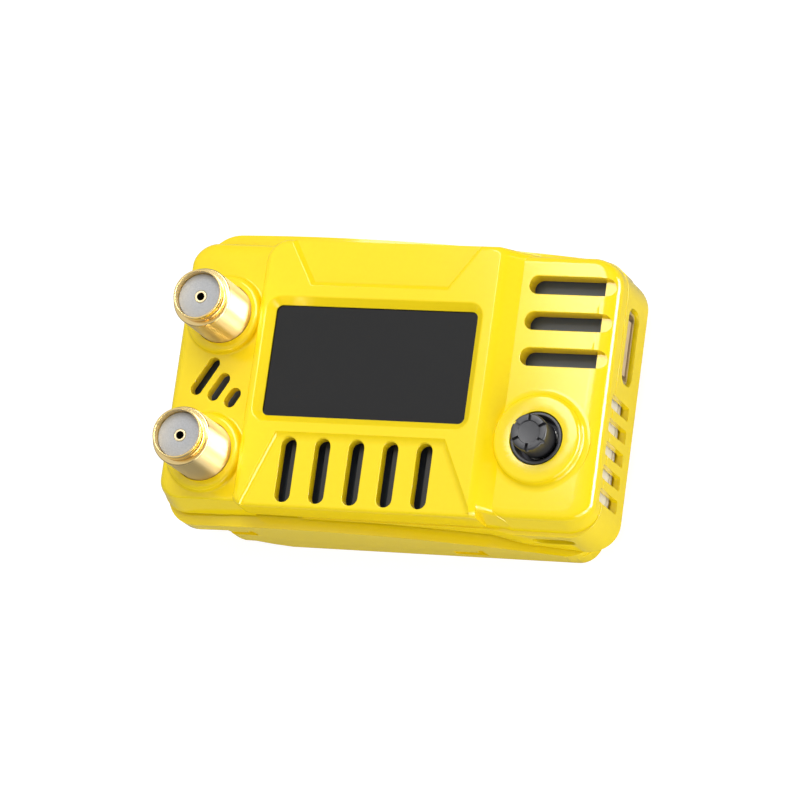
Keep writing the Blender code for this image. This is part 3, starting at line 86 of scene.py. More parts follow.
# The small bead along the crease of the case.
BEAD = 0.1
BEAD_REACH = 0.4
BEAD_STEPS = 3
# How finely curves are drawn.
CORNER_STEPS = 12
EDGE_STEPS = 8
ARC_STEPS = 48
ROUND_STEPS = 96
BEVEL_STEPS = 4
LEVEL_DIGITS = 4
SMOOTH_ANGLE = 34.0
BEVEL_ANGLE = 40.0
FLAT_WEIGHT = 100
# Copper tracks as a share of their spacing, the blur of their edges, and the second tone between them.
TRACK_SHARE = 0.16
TRACK_BLUR = 0.1
TRACK_TONE = 0.15
# Radians of a wave texture to one unit of its scale, and how far its lathe grooves wander.
WAVE_TURN = 20.0
GROOVE_WANDER = 3.0
GROOVE_DETAIL = 3.0
# The share of a turn by which the streaks of light stand across the lathe grooves.
GROOVE_TURN = 0.25
# Brushed lines repeat along X at this share of their rate across.
BRUSH_STRETCH = 0.05
GRAIN_DETAIL = 4.0


class Axis(Enum):
    """The way a prism runs."""

    X = "X"
    Y = "Y"
    Z = "Z"

    def place(self, u: float, v: float, w: float) -> Point3:
        """The point at u, v of an outline and w along the axis."""
        return {"X": (w, u, v), "Y": (u, w, v), "Z": (u, v, w)}[self.value]


class Joining(Enum):
    """How a tool changes a body."""

    ADD = "UNION"
    CUT = "DIFFERENCE"
    KEEP = "INTERSECT"


def round_corners(points: Sequence[Point3], closed: bool = False) -> list[Point]:
    """Rounds the corners of a line.

    Args:
        points: Corners as two coordinates and a radius.
        closed: Whether the last corner joins the first.

    Returns:
        The points of the rounded line, with as many points for every radius above zero.
    """
    result: list[Point] = []
    count = len(points)
    for i, (x, y, radius) in enumerate(points):
        here = Vector((x, y))
        if radius <= 0 or (not closed and i in (0, count - 1)):
            result.append((x, y))
            continue
        back = Vector(points[i - 1][:2]) - here
        ahead = Vector(points[(i + 1) % count][:2]) - here
        half = back.angle(ahead) / 2
        reach = min(radius / math.tan(half), CORNER_SHARE * min(back.length, ahead.length))
        radius = reach * math.tan(half)
        middle = here + (back.normalized() + ahead.normalized()).normalized() * radius / math.sin(half)
        start = here + back.normalized() * reach - middle
        sweep = start.angle_signed(here + ahead.normalized() * reach - middle)
        first = math.atan2(start.y, start.x)
        for step in range(EDGE_STEPS + 1):
            turn = first - sweep * step / EDGE_STEPS
            result.append((middle.x + radius * math.cos(turn), middle.y + radius * math.sin(turn)))
    return result


def quarter(steps: int = EDGE_STEPS) -> list[float]:
    """Angles from zero to a right angle, in even steps."""
    return [math.pi / 2 * step / steps for step in range(steps + 1)]


def circle(centre: Point, radius: float, steps: int = ROUND_STEPS) -> list[Point]:
    """Outline of a circle."""
    angles = [2 * math.pi * i / steps for i in range(steps)]
    return [(centre[0] + radius * math.cos(a), centre[1] + radius * math.sin(a)) for a in angles]


def capsule(start: Point, end: Point, width: float) -> list[Point]:
    """Outline of a slot with round ends whose end centres are given."""
    lean = math.atan2(end[1] - start[1], end[0] - start[0])
    points = []
    for (x, y), side in ((start, math.pi / 2), (end, -math.pi / 2)):
        for step in range(2 * CORNER_STEPS + 1):
            angle = lean + side + math.pi * step / (2 * CORNER_STEPS)
            points.append((x + width / 2 * math.cos(angle), y + width / 2 * math.sin(angle)))
    return points


@dataclass(frozen=True)
class Plan:
    """A rectangle with round corners, given from the lower left corner anticlockwise."""

    left: float
    right: float
    bottom: float
    top: float
    corners: Sides = (0.0, 0.0, 0.0, 0.0)
    flare: Point = (0.0, 0.0)

    @staticmethod
    def centred(centre: Point, width: float, height: float, corner: float = 0.0) -> Plan:
        """A plan of the given size about a centre."""
        x, y = centre
        return Plan(x - width / 2, x + width / 2, y - height / 2, y + height / 2, (corner,) * 4)

    def outline(self, inset: float = 0.0, sides: Sides | None = None) -> list[Point]:
        """Points of the outline, drawn in.

        Args:
            inset: How far every side is drawn in.
            sides: How far the left, right, bottom and top are drawn in, if not evenly.

        Returns:
            The points, anticlockwise from the lower left corner.
        """
        left, right, bottom, top = sides or (inset,) * 4
        x0, x1, y0, y1 = self.left + left, self.right - right, self.bottom + bottom, self.top - top
        turns = ((x0, y0, left, bottom, 1, 1, 180), (x1, y0, right, bottom, -1, 1, 270),
                 (x1, y1, right, top, -1, -1, 0), (x0, y1, left, top, 1, -1, 90))
        points = []
        for corner, (x, y, in_x, in_y, to_right, to_top, start) in zip(self.corners, turns):
            if corner == 0 and start == 180 and any(self.flare):
                points += [(x, y + self.flare[1]), (x + self.flare[0], y)]
                continue
            if corner == 0:
                points.append((x, y))
                continue
            wide, tall = max(corner - in_x, LEAST_RADIUS), max(corner - in_y, LEAST_RADIUS)
            for step in range(CORNER_STEPS + 1):
                angle = math.radians(start + 90 * step / CORNER_STEPS)
                points.append((x + to_right * wide + wide * math.cos(angle),
                               y + to_top * tall + tall * math.sin(angle)))
        return points


def window_of(centre: Point, size: Point, corner: float) -> Outline:
    """Outline of a rectangular opening, drawn out by a spread."""
    def outline(spread: float) -> list[Point]:
        """The opening drawn out by a spread."""
        return Plan.centred(centre, size[0] + 2 * spread, size[1] + 2 * spread, corner + spread).outline()
    return outline


def slot_of(start: Point, end: Point, width: float) -> Outline:
    """Outline of a slot with round ends, drawn out by a spread."""
    return lambda spread: capsule(start, end, width + 2 * spread)


def hole_of(centre: Point, diameter: float) -> Outline:
    """Outline of a round hole, drawn out by a spread."""
    return lambda spread: circle(centre, diameter / 2 + spread)


def as_object(name: str, shape: bmesh.types.BMesh) -> Solid:
    """Turns a mesh in millimetres into an object in metres."""
    bmesh.ops.recalc_face_normals(shape, faces=shape.faces)
    bmesh.ops.scale(shape, vec=(MM, MM, MM), verts=shape.verts)
    mesh = bpy.data.meshes.new(name)
    shape.to_mesh(mesh)
    shape.free()
    piece = bpy.data.objects.new(name, mesh)
    bpy.context.collection.objects.link(piece)
    return piece


def loft(name: str, rings: Sequence[Sequence[Point3]]) -> Solid:
    """Joins rings of equal count into a closed solid with flat ends."""
    shape = bmesh.new()
    rows = [[shape.verts.new(point) for point in ring] for ring in rings]
    for low, high in zip(rows, rows[1:]):
        for i in range(len(low)):
            j = (i + 1) % len(low)
            shape.faces.new((low[i], low[j], high[j], high[i]))
    shape.faces.new(rows[0])
    shape.faces.new(rows[-1])
    return as_object(name, shape)


def prism(name: str, outline: Sequence[Point], start: float, end: float,
          axis: Axis = Axis.Z) -> Solid:
    """Extrudes an outline along an axis."""
    return loft(name, [[axis.place(u, v, w) for u, v in outline] for w in (start, end)])


def mouth(name: str, outline: Outline, profile: Sequence[Point], axis: Axis = Axis.Z) -> Solid:
    """Lofts a cutter for a shaped mouth.

    Args:
        name: Name of the cutter.
        outline: Gives the opening's outline, drawn out by a spread.
        profile: Pairs of spread and level along the cutter.
        axis: The way the opening runs.

    Returns:
        The closed cutter.
    """
    return loft(name, [[axis.place(u, v, w) for u, v in outline(spread)] for spread, w in profile])


def slot_profile(back: float, face: float, lip: float, way: int = 1) -> list[Point]:
    """Profile of a straight slot whose mouth at a face is rounded by a lip, for a face towards way."""
    line = [(lip * (1 - math.cos(t)), face - way * lip * (1 - math.sin(t))) for t in quarter()]
    return [(0.0, back), *line, (lip, face + way * FIT)]


def turned(name: str, profile: Sequence[Point], centre: Point, steps: int = ROUND_STEPS,
           hollow: bool = False) -> Solid:
    """Spins a profile round an upright axis.

    Args:
        name: Name of the object.
        profile: Pairs of radius and level. A solid starts and ends on the axis.
        centre: Place of the axis.
        steps: Number of sides of the round.
        hollow: Whether the profile is a closed loop away from the axis.

    Returns:
        The closed solid.
    """
    shape = bmesh.new()
    rows = []
    for radius, level in profile:
        angles = [2 * math.pi * i / steps for i in range(steps if radius else 1)]
        rows.append([shape.verts.new((centre[0] + radius * math.cos(angle),
                                      centre[1] + radius * math.sin(angle), level)) for angle in angles])
    pairs = list(zip(rows, rows[1:]))
    if hollow:
        pairs.append((rows[-1], rows[0]))
    for low, high in pairs:
        for i in range(steps):
            j = (i + 1) % steps
            corners = [low[i % len(low)], low[j % len(low)], high[j % len(high)], high[i % len(high)]]
            shape.faces.new(list(dict.fromkeys(corners)))
    return as_object(name, shape)


def disc(name: str, centre: Point, diameter: float, back: float, front: float,
         steps: int = ROUND_STEPS) -> Solid:
    """An upright cylinder, used as a cutter."""
    return prism(name, circle(centre, diameter / 2, steps), back, front)


def settle(body: Solid) -> Solid:
    """Applies a body's modifiers to its mesh."""
    view = bpy.context.evaluated_depsgraph_get()
    result = bpy.data.meshes.new_from_object(body.evaluated_get(view))
    body.modifiers.clear()
    body.data = result
    return body


def combine(body: Solid, joining: Joining, *tools: Solid) -> Solid:
    """Applies Boolean steps to a body and removes the tools."""
    for tool in tools:
        step = body.modifiers.new(joining.value, "BOOLEAN")
        step.operation = joining.value
        step.solver = "EXACT"
        step.object = tool
        settle(body)
        bpy.data.objects.remove(tool)
    return body


def cut_mouth(body: Solid, outline: Outline, back: float, face: float, lip: float, way: int = 1,
              axis: Axis = Axis.Z) -> None:
    """Cuts an opening with a rounded mouth.

    Args:
        body: The body that is cut.
        outline: Gives the opening's outline, drawn out by a spread.
        back: Where the opening ends.
        face: The face that it opens in.
        lip: Radius of the mouth.
        way: Whether the face looks up or down the axis.
        axis: The way the opening runs.
    """
    combine(body, Joining.CUT, mouth("mouth", outline, slot_profile(back, face, lip, way), axis))


def bevel(body: Solid, width: float) -> Solid:
    """Rounds the sharp edges of a body."""
    step = body.modifiers.new("bevel", "BEVEL")
    step.width = width * MM
    step.segments = BEVEL_STEPS
    step.limit_method = "ANGLE"
    step.angle_limit = math.radians(BEVEL_ANGLE)
    return settle(body)


def shade(body: Solid) -> Solid:
    """Shades a body smooth, with its sharp edges kept and its large faces left flat."""
    body.data.name = body.name
    body.data.shade_smooth()
    body.data.set_sharp_from_angle(angle=math.radians(SMOOTH_ANGLE))
    step = body.modifiers.new("large_faces_flat", "WEIGHTED_NORMAL")
    step.keep_sharp = True
    step.weight = FLAT_WEIGHT
    return body


def middle(node: str) -> Point:
    """Centre of a CAD node across the front, in millimetres."""
    low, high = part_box(node)
    return ((low[0] + high[0]) / 2 / MM, (low[1] + high[1]) / 2 / MM)


def front_of(node: str) -> float:
    """Height of a CAD node's front, in millimetres."""
    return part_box(node)[1][2] / MM


def linear(colour: str) -> tuple[float, float, float, float]:
    """Turns an sRGB hex colour into linear values."""
    parts = [int(colour[i:i + 2], 16) / 255 for i in (1, 3, 5)]
    return (*[c / 12.92 if c <= 0.04045 else ((c + 0.055) / 1.055) ** 2.4 for c in parts], 1.0)


def add_node(tree: Tree, kind: str, settings: dict[str | int, object] | None = None,
             links: dict[str | int, Socket] | None = None) -> bpy.types.Node:
    """Adds a shader node.

    Args:
        tree: The node tree.
        kind: Blender's name of the node, without its prefix.
        settings: Values by the name of a property, or by the name or number of an input.
        links: Outputs of other nodes by the name or number of an input.

    Returns:
        The new node.
    """
    node = tree.nodes.new("ShaderNode" + kind)
    for key, value in (settings or {}).items():
        if isinstance(key, str) and hasattr(node, key):
            setattr(node, key, value)
        else:
            node.inputs[key].default_value = value
    for key, socket in (links or {}).items():
        tree.links.new(socket, node.inputs[key])
    return node


class Pattern(Enum):
    """What breaks up a surface."""

    MOTTLE = "cloudy grain"
    CELLS = "round grains"
    TURNED = "grooves round an upright axis"
    BRUSHED = "lines along X"
    TRACES = "copper tracks"


@dataclass(frozen=True)
class Finish:
    """A surface: its colours, its gloss and the fine pattern that breaks them up."""

    name: str
    colour: str
    shade: str
    grain: float
    roughness: Point
    relief: float = 0.0
    metallic: float = 0.0
    ior: float = 1.5
    pattern: Pattern = Pattern.MOTTLE
    anisotropic: float = 0.0

    def _pattern(self, tree: Tree) -> Socket:
        """Adds the pattern's nodes and returns their grey value."""
        place = add_node(tree, "TexCoord").outputs["Object"]
        scale = 1.0 / (self.grain * MM)
        if self.pattern is Pattern.CELLS:
            return add_node(tree, "TexVoronoi", {"Scale": scale}, {"Vector": place}).outputs["Distance"]
        if self.pattern is Pattern.TRACES:
            tracks = add_node(tree, "TexBrick", {
                "Scale": scale, "Mortar Size": TRACK_SHARE, "Mortar Smooth": TRACK_BLUR,
                "Color1": (0, 0, 0, 1), "Color2": (*(TRACK_TONE,) * 3, 1), "Mortar": (1, 1, 1, 1)},
                {"Vector": place})
            return tracks.outputs["Color"]
        if self.pattern is Pattern.TURNED:
            waves = add_node(tree, "TexWave", {
                "wave_type": "BANDS", "bands_direction": "Z", "Scale": scale / WAVE_TURN,
                "Distortion": GROOVE_WANDER, "Detail": GROOVE_DETAIL}, {"Vector": place})
            return waves.outputs["Color"]
        if self.pattern is Pattern.BRUSHED:
            lines = add_node(tree, "Mapping", {"Scale": (BRUSH_STRETCH, 1.0, 1.0)}, {"Vector": place})
            place = lines.outputs[0]
        grain = add_node(tree, "TexNoise", {"Scale": scale, "Detail": GRAIN_DETAIL}, {"Vector": place})
        return grain.outputs["Fac"]

    def material(self) -> bpy.types.Material:
        """The finish as a Blender material, made once."""
        ready = bpy.data.materials.get(self.name)
        if ready:
            return ready
        material = bpy.data.materials.new(self.name)
        material.use_nodes = True
        tree = material.node_tree
        surface = tree.nodes["Principled BSDF"]
        surface.inputs["Metallic"].default_value = self.metallic
        if self.metallic < 1:
            surface.inputs["IOR"].default_value = self.ior
        pattern = self._pattern(tree)
        tint = add_node(tree, "Mix", {"data_type": "RGBA", 6: linear(self.colour), 7: linear(self.shade)},
                        {0: pattern})
        tree.links.new(tint.outputs[2], surface.inputs["Base Color"])
        gloss = add_node(tree, "MapRange", {"To Min": self.roughness[0], "To Max": self.roughness[1]},
                         {"Value": pattern})
        tree.links.new(gloss.outputs["Result"], surface.inputs["Roughness"])
        if self.relief:
            bump = add_node(tree, "Bump", {"Strength": 1.0, "Distance": self.relief * MM},
                            {"Height": pattern})
            tree.links.new(bump.outputs["Normal"], surface.inputs["Normal"])
        if self.anisotropic:
            surface.inputs["Anisotropic"].default_value = self.anisotropic
            surface.inputs["Anisotropic Rotation"].default_value = GROOVE_TURN
            around = add_node(tree, "Tangent", {"direction_type": "RADIAL", "axis": "Z"})
            tree.links.new(around.outputs["Tangent"], surface.inputs["Tangent"])
        return material


# Moulded ABS from a polished tool: even strong yellow, glossy, with a faint orange peel.
YELLOW_ABS = Finish("moulded_yellow_abs", "#F8DC14", "#F4D60E", 0.5, (0.1, 0.13), 0.0004, ior=1.54)
# Smoked acrylic pane: black to the eye with a flat mirror gloss.
SMOKED_ACRYLIC = Finish("smoked_acrylic", "#141415", "#171718", 2.0, (0.05, 0.08), ior=1.49)
# Gold plate over turned brass: fine lathe grooves draw the light out along the axis.
GOLD_PLATE = Finish("gold_plated_brass", "#FFE9B0", "#FEE6AA", 0.05, (0.42, 0.44), metallic=1.0,
                    pattern=Pattern.TURNED, anisotropic=1.0)
# The barrel's lip and bore: gold plate, polished, which mirrors the shoulder below it.
GOLD_LIP = Finish("polished_gold", "#FFE3A0", "#FEE09A", 0.1, (0.16, 0.2), metallic=1.0)
# The contact's bore: painted shade, black, standing in for the darkness deep in the narrow bore.
PAINTED_BORE_SHADE = Finish("bore_painted_shade", "#0A0807", "#120E0A", 0.2, (0.6, 0.7))
# The contact's end face: gold plate, lapped flat.
GOLD_FACE = Finish("lapped_gold", "#FFF3CF", "#FCE9B8", 0.1, (0.5, 0.55), metallic=1.0)
# Sintered PTFE, turned: matt, pale grey, with a chalky grain drawn coarser than it is, so that it shows.
PTFE = Finish("turned_ptfe", "#C2C4C7", "#9A9CA0", 0.16, (0.5, 0.62), 0.006, ior=1.35)
# Glass-filled nylon, moulded: dark grey, satin, with fine fibres under the skin.
GREY_NYLON = Finish("glass_filled_nylon", "#3C3C3F", "#333336", 0.12, (0.26, 0.36), 0.0008, ior=1.53)
# Liquid crystal polymer of connectors: dull black with a faint flow grain.
BLACK_LCP = Finish("black_connector_lcp", "#161617", "#1E1E20", 0.3, (0.45, 0.6), 0.001, ior=1.6)
# Natural liquid crystal polymer: tan, dull.
TAN_LCP = Finish("natural_connector_lcp", "#CDB48C", "#BFA57C", 0.3, (0.45, 0.55), 0.001, ior=1.6)
# Natural nylon: cloudy white.
WHITE_NYLON = Finish("natural_nylon", "#F7F6F2", "#EFEDE6", 0.4, (0.4, 0.5), 0.001, ior=1.53)
# Circuit board under black solder mask: the tracks stand out as slightly greyer lines.
BLACK_BOARD = Finish("black_solder_mask", "#454B54", "#4F5660", 1.6, (0.35, 0.5), 0.004,
                     pattern=Pattern.TRACES)
# Circuit board under white solder mask: cream, with paler tracks.
WHITE_BOARD = Finish("white_solder_mask", "#E2DCCB", "#EDE8DA", 1.6, (0.35, 0.45), 0.004,
                     pattern=Pattern.TRACES)
# Tin-plated steel sheet: bright with a rolled grain.
TINNED_STEEL = Finish("tinned_steel", "#E6DCC8", "#D6CBB4", 0.15, (0.25, 0.4), 0.0005, metallic=1.0,
                      pattern=Pattern.BRUSHED)
# Spring steel of the switch: darker, rolled.
SPRING_STEEL = Finish("rolled_spring_steel", "#C9C7C2", "#B4B2AD", 0.12, (0.22, 0.34), 0.0005, metallic=1.0,
                      pattern=Pattern.BRUSHED)
# Black zinc on the screws: dark metal, patchy sheen.
BLACK_ZINC = Finish("black_zinc_screw", "#3A3A3D", "#2A2A2D", 0.3, (0.3, 0.45), 0.001, metallic=1.0)
# Closed-cell foam: black with round pores.
FOAM = Finish("closed_cell_foam", "#1A1A1A", "#262626", 0.25, (0.85, 0.95), 0.05, pattern=Pattern.CELLS)
# Polyimide film with copper tracks: amber, with lighter lines.
POLYIMIDE = Finish("polyimide_flex", "#9A5A1E", "#B87A30", 0.5, (0.3, 0.4), 0.01, ior=1.7,
                   pattern=Pattern.TRACES)
# Display glass behind the pane: black and glossy.
DISPLAY_GLASS = Finish("display_glass", "#0C0C0E", "#121216", 1.0, (0.08, 0.12), ior=1.52)
# Screen behind the lower slots, stamped from polycarbonate film, dull: its near black is partly the film's own
# dark colour and partly painted shade that darkens the slots.
DARK_FILM_AND_SHADE = Finish("dark_film_and_painted_shade", "#0D0D0E", "#090909", 0.3, (0.5, 0.6), 0.001, ior=1.58)

NODE_FINISHES: dict[str, Finish] = {
    "display_window": SMOKED_ACRYLIC, "display_panel": DISPLAY_GLASS, "display_cushion": FOAM,
    # The vent screen's near black is partly painted shade inside the lower slots.
    "display_flex": POLYIMIDE, "display_connector": WHITE_NYLON, "vent_screen": DARK_FILM_AND_SHADE,
    "front_board": BLACK_BOARD, "rear_board": WHITE_BOARD, "board_link_header": WHITE_NYLON,
    "controller_chip": BLACK_LCP, "receiver_can_upper": TINNED_STEEL, "receiver_can_lower": TINNED_STEEL,
    "usb_shell": TINNED_STEEL, "usb_tongue": TAN_LCP, "bay_socket_nine": BLACK_LCP,
    "bay_socket_five": BLACK_LCP, "joystick_base": BLACK_LCP, "joystick_cover": BLACK_ZINC,
    "joystick_snap_dome": SPRING_STEEL, "joystick_carrier": WHITE_NYLON, "joystick_gimbal_ring": SPRING_STEEL,
    "joystick_stem": SPRING_STEEL, "case_screw_1": BLACK_ZINC, "case_screw_2": BLACK_ZINC,
    "case_screw_3": BLACK_ZINC, "case_screw_4": BLACK_ZINC,
}


def install(piece: Solid, finish: Finish, node: str, body: str) -> None:
    """Dresses a new piece, puts it in a CAD node's place and reports it.

    Args:
        piece: The new piece.
        finish: Its surface.
        node: The CAD node that it stands for.
        body: The body that it rides on.
    """
    piece.data.materials.clear()
    piece.data.materials.append(finish.material())
    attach(piece, body)
    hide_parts(node)
    log.info("%s stands for %s on %s, %d faces", piece.name, node, body, len(piece.data.polygons))


def second_finish(piece: Solid, finish: Finish, centre: Point,
                  chosen: Callable[[float, float], bool]) -> None:
    """Gives some faces of a turned piece another finish.

    Args:
        piece: The piece, already installed.
        finish: The other surface.
        centre: Place of its axis.
        chosen: Tells from a face's distance from the axis and its height whether it gets the finish.
    """
    piece.data.materials.append(finish.material())
    for polygon in piece.data.polygons:
        reach = (Vector(polygon.center[:2]) / MM - Vector(centre)).length
        if chosen(reach, polygon.center.z / MM):
            polygon.material_index = 1


@dataclass(frozen=True)
class Edge:
    """How one side of a moulded block goes from the wall below its crease to its front face."""

    foot: float = 0.12
    ledge: float = 0.06
    lean: float = 0.0
    run: float = 0.0
    rise: float = 0.05

    def inset(self, level: float, crease: float, front: float) -> float:
        """How far the side is drawn in at a level above the crease."""
        start = front - self.rise
        wall = self.ledge + self.lean * min((level - crease) / (start - crease), 1.0)
        share = min(max((level - start) / self.rise, 0.0), 1.0)
        return wall + self.run * (1 - math.sqrt(1 - share ** 2))


def moulded_block(name: str, plan: Plan, crease: float, front: float,
                  edges: Sequence[Edge]) -> Solid:
    """A block with a wall up to a crease, and above it leaning sides that round over to the front.

    Args:
        name: Name of the block.
        plan: Its outline at the crease.
        crease: Height of the crease.
        front: Height of the front face.
        edges: The left, right, bottom and top sides.

    Returns:
        The closed block.
    """
    foot = tuple(edge.foot for edge in edges)
    sections: list[tuple[float, Sides]] = [(0.0, foot), (crease - BEAD, foot)]
    for turn in quarter(BEAD_STEPS)[1:]:
        drawn = tuple(min(edge.foot, 0.0) + BEAD_REACH * BEAD * (1 - math.cos(turn)) for edge in edges)
        sections.append((crease - BEAD / 2 * (1 - math.sin(turn)), drawn))
    levels = {crease}
    for edge in edges:
        levels.update(round(front - edge.rise * (1 - math.sin(turn)), LEVEL_DIGITS) for turn in quarter())
    for level in sorted(levels):
        sections.append((level, tuple(edge.inset(level, crease, front) for edge in edges)))
    return loft(name, [[(x, y, level) for x, y in plan.outline(sides=sides)] for level, sides in sections])


@dataclass(frozen=True)
class Case:
    """Sizes that both halves of the case share."""

    left: float = -24.3
    right: float = 24.3
    flange_y: float = 15.925
    wall: float = 1.2
    parting_radius: float = 95.0
    parting_apex: float = -12.4
    parting_top: float = 9.3
    parting_gap: float = 0.3
    flange_thickness: float = 1.9
    screw_xs: Point = (-13.7, 11.6)
    screw_ys: Point = (-11.425, 10.875)
    board_top: float = 9.6

    def parting(self, x: float, drop: float = 0.0) -> float:
        """Height of the curved parting face at x, lowered by drop."""
        sag = self.parting_radius - math.sqrt(self.parting_radius ** 2 - (x - self.parting_apex) ** 2)
        return self.parting_top - sag - drop

    def parting_run(self, x0: float, x1: float, drop: float = 0.0) -> list[Point]:
        """Points along the parting face from x0 to x1."""
        xs = [x0 + (x1 - x0) * i / ARC_STEPS for i in range(ARC_STEPS + 1)]
        return [(x, self.parting(x, drop)) for x in xs]

    @property
    def screws(self) -> list[Point]:
        """Places of the case screws."""
        return [(x, y) for y in self.screw_ys for x in self.screw_xs]


@dataclass(frozen=True)
class Recess:
    """A shallow recess of the platform: two sides lean apart from a straight crest near the window."""

    way: int
    crest: float
    left: float
    right: float
    leans: Point
    depth: float
    side: float
    cove: bool = False
    left_share: float = 1.0
    edge: float = 0.2

    def outline(self, end: float, drawn: float) -> list[Point]:
        """Points of the recess out to an end, drawn in from its crest line."""
        start = self.crest + self.way * drawn
        points = []
        for y, first in ((start, True), (end, False)):
            run = abs(y - self.crest)
            pair = [(self.left - self.leans[0] * run + drawn * self.left_share, y),
                    (self.right + self.leans[1] * run - drawn, y)]
            points += pair if first else pair[::-1]
        return points

    def profile(self, level: float) -> list[Point]:
        """How far the sides are drawn in at each height, from the floor to the platform's face."""
        if self.cove:
            shares = [step / EDGE_STEPS for step in range(EDGE_STEPS + 1)]
            line = [(self.side * (1 - share), level - self.depth * (1 - share ** 2)) for share in shares]
        else:
            line = round_corners([(self.side, level - self.depth, 0), (0.0, level, self.edge),
                                  (-self.side, level, 0)])[:-1]
        return line + [(line[-1][0], level + FIT)]


@dataclass(frozen=True)
class Boss:
    """A round boss with a rounded rim, a foot that spreads and a hole."""

    diameter: float
    spread: float
    height: float
    edge: float
    hole: float


@dataclass(frozen=True)
class Row:
    """A row of equal openings: their size, spacing and number, and the margin before the first."""

    width: float
    length: float
    pitch: float
    count: int
    margin: float


@dataclass
class FrontShell:
    """The front half of the case: jack side, display platform and joystick column.

    Of the pairs, slot_pocket is the length and depth of a slot's shelf, slant_start and slant_pitch are offsets
    across and up, port_place is an offset from the window's middle and a height, key_slot is a length and a
    height, key_place is the margin from the right wall and the height of the foot, jack_seat is a width and a
    rise, and cup_seat is a diameter and the height of its end.
    """

    case: Case
    window: Point
    jacks: Sequence[Point]
    joystick: Point
    top: float = 14.225
    bottom: float = -14.775
    column_bottom: float = -15.225
    platform_left: float = -14.5
    platform_right: float = 11.7
    column_left: float = 11.1
    platform_ledge: float = 0.2
    platform_bead: float = 0.05
    crease: float = 9.2
    left_level: float = 11.95
    right_level: float = 12.0
    platform_level: float = 13.75
    left_ceiling: float = 10.75
    right_ceiling: float = 10.0
    platform_ceiling: float = 12.05
    left_rise: float = 0.4
    left_corner: float = 3.0
    right_corner: float = 3.3
    column_flare: float = 4.0
    column_floor: float = 3.6
    platform_fillet: float = 0.6
    platform_draft: float = 0.4
    platform_corners: Point = (1.1, 2.4)
    slope_run: float = 1.9
    slope_edge: float = 0.4
    window_size: Point = (22.5, 12.0)
    window_corner: float = 0.7
    bezel_depth: float = 0.8
    bezel_foot: float = 12.95
    bezel_edge: float = 0.3
    pane_back: float = 11.7
    pane_front: float = 12.8
    pane_rim: float = 1.0
    upper_recess: Recess = Recess(1, 9.25, -9.02, 6.2, (0.6, 0.69), 0.5, 0.5)
    lower_recess: Recess = Recess(-1, -6.6, -10.7, 8.16, (0.4, 0.5), 0.5, 0.95, cove=True, left_share=0.6)
    recess_foot: float = 0.4
    screen_half: float = 9.2
    screen_bottom: float = -14.075
    screen_back: float = 10.8
    side_wall: float = 0.8
    port_wall: float = 0.8
    lip: float = 0.08
    jack_boss: Boss = Boss(8.5, 0.275, 0.8, 0.55, 6.47)
    knob_boss: Boss = Boss(9.5, 0.75, 1.0, 0.5, 5.7)
    lower_slots: Row = Row(1.7, 6.95, 3.77, 5, 2.3)
    column_slots: Row = Row(1.95, 9.35, 3.85, 3, 3.55)
    column_margin: float = 0.55
    slot_pocket: Point = (1.3, 0.95)
    slant_width: float = 1.3
    slant_angle: float = 61.0
    slant_lengths: Sequence[float] = (4.55, 3.3, 2.25)
    slant_start: Point = (1.25, 0.33)
    slant_pitch: Point = (1.72, 1.1)
    port_place: Point = (4.7, 6.1)
    port_size: Point = (8.1, 3.4)
    port_corner: float = 1.2
    side_vents: Row = Row(1.45, 5.9, 2.475, 5, 2.93)
    vent_foot: float = 4.0
    vent_corner: float = 0.3
    key_slot: Point = (4.5, 2.0)
    key_place: Point = (3.15, 5.85)
    fitting_depth: float = 2.6
    jack_seat: Point = (6.95, 1.4)
    cup_seat: Point = (8.0, 11.55)
    left_edges: Sequence[Edge] = (
        Edge(lean=0.3, run=1.0, rise=1.0), Edge(), Edge(lean=0.85, run=0.35, rise=0.3),
        Edge(lean=0.3, run=2.2, rise=1.2))
    right_edges: Sequence[Edge] = (
        Edge(), Edge(lean=0.0, run=2.2, rise=1.5), Edge(foot=0.0, ledge=0.42, lean=0.7, run=0.95, rise=0.8),
        Edge(lean=0.3, run=0.9, rise=0.9))

    @property
    def _slope(self) -> float:
        """How far the platform's right side runs out for each millimetre that it falls."""
        return self.slope_run / (self.platform_level - self.right_level)

    def _platform_ring(self, level: float, sides: Sides) -> list[Point3]:
        """Outline of the platform at a height, drawn in, with its right side sloping to the column."""
        depth = self.platform_level - level
        share = min(depth / (self.platform_level - self.left_level), 1.0)
        left = self.platform_left - self.platform_draft * share
        right = self.platform_right + self._slope * min(depth, self.platform_level - self.right_ceiling)
        lower, upper = self.platform_corners
        plan = Plan(left, right, self.bottom, self.top, (lower, lower, upper / 2, upper))
        return [(x, y, level) for x, y in plan.outline(sides=sides)]

    def _platform(self) -> Solid:
        """The raised block round the display, with a ledge at its crease and a rounded front edge."""
        foot, bead, ledge = (Edge().foot,) * 4, self.platform_bead, self.platform_ledge
        sections: list[tuple[float, Sides]] = [
            (0.0, foot), (self.crease - 2 * bead, foot), (self.crease - bead, (0.0,) * 4),
            (self.crease, (bead / 2,) * 4), (self.crease, (0.0, 0.0, ledge, 0.0)),
            (self.right_ceiling, (0.0, 0.0, ledge, 0.0))]
        for turn in quarter():
            drawn = self.platform_fillet * (1 - math.cos(turn))
            sections.append((self.platform_level - self.platform_fillet * (1 - math.sin(turn)),
                             (drawn, drawn * self.slope_edge, ledge + drawn, drawn)))
        return loft("platform", [self._platform_ring(level, sides) for level, sides in sections])

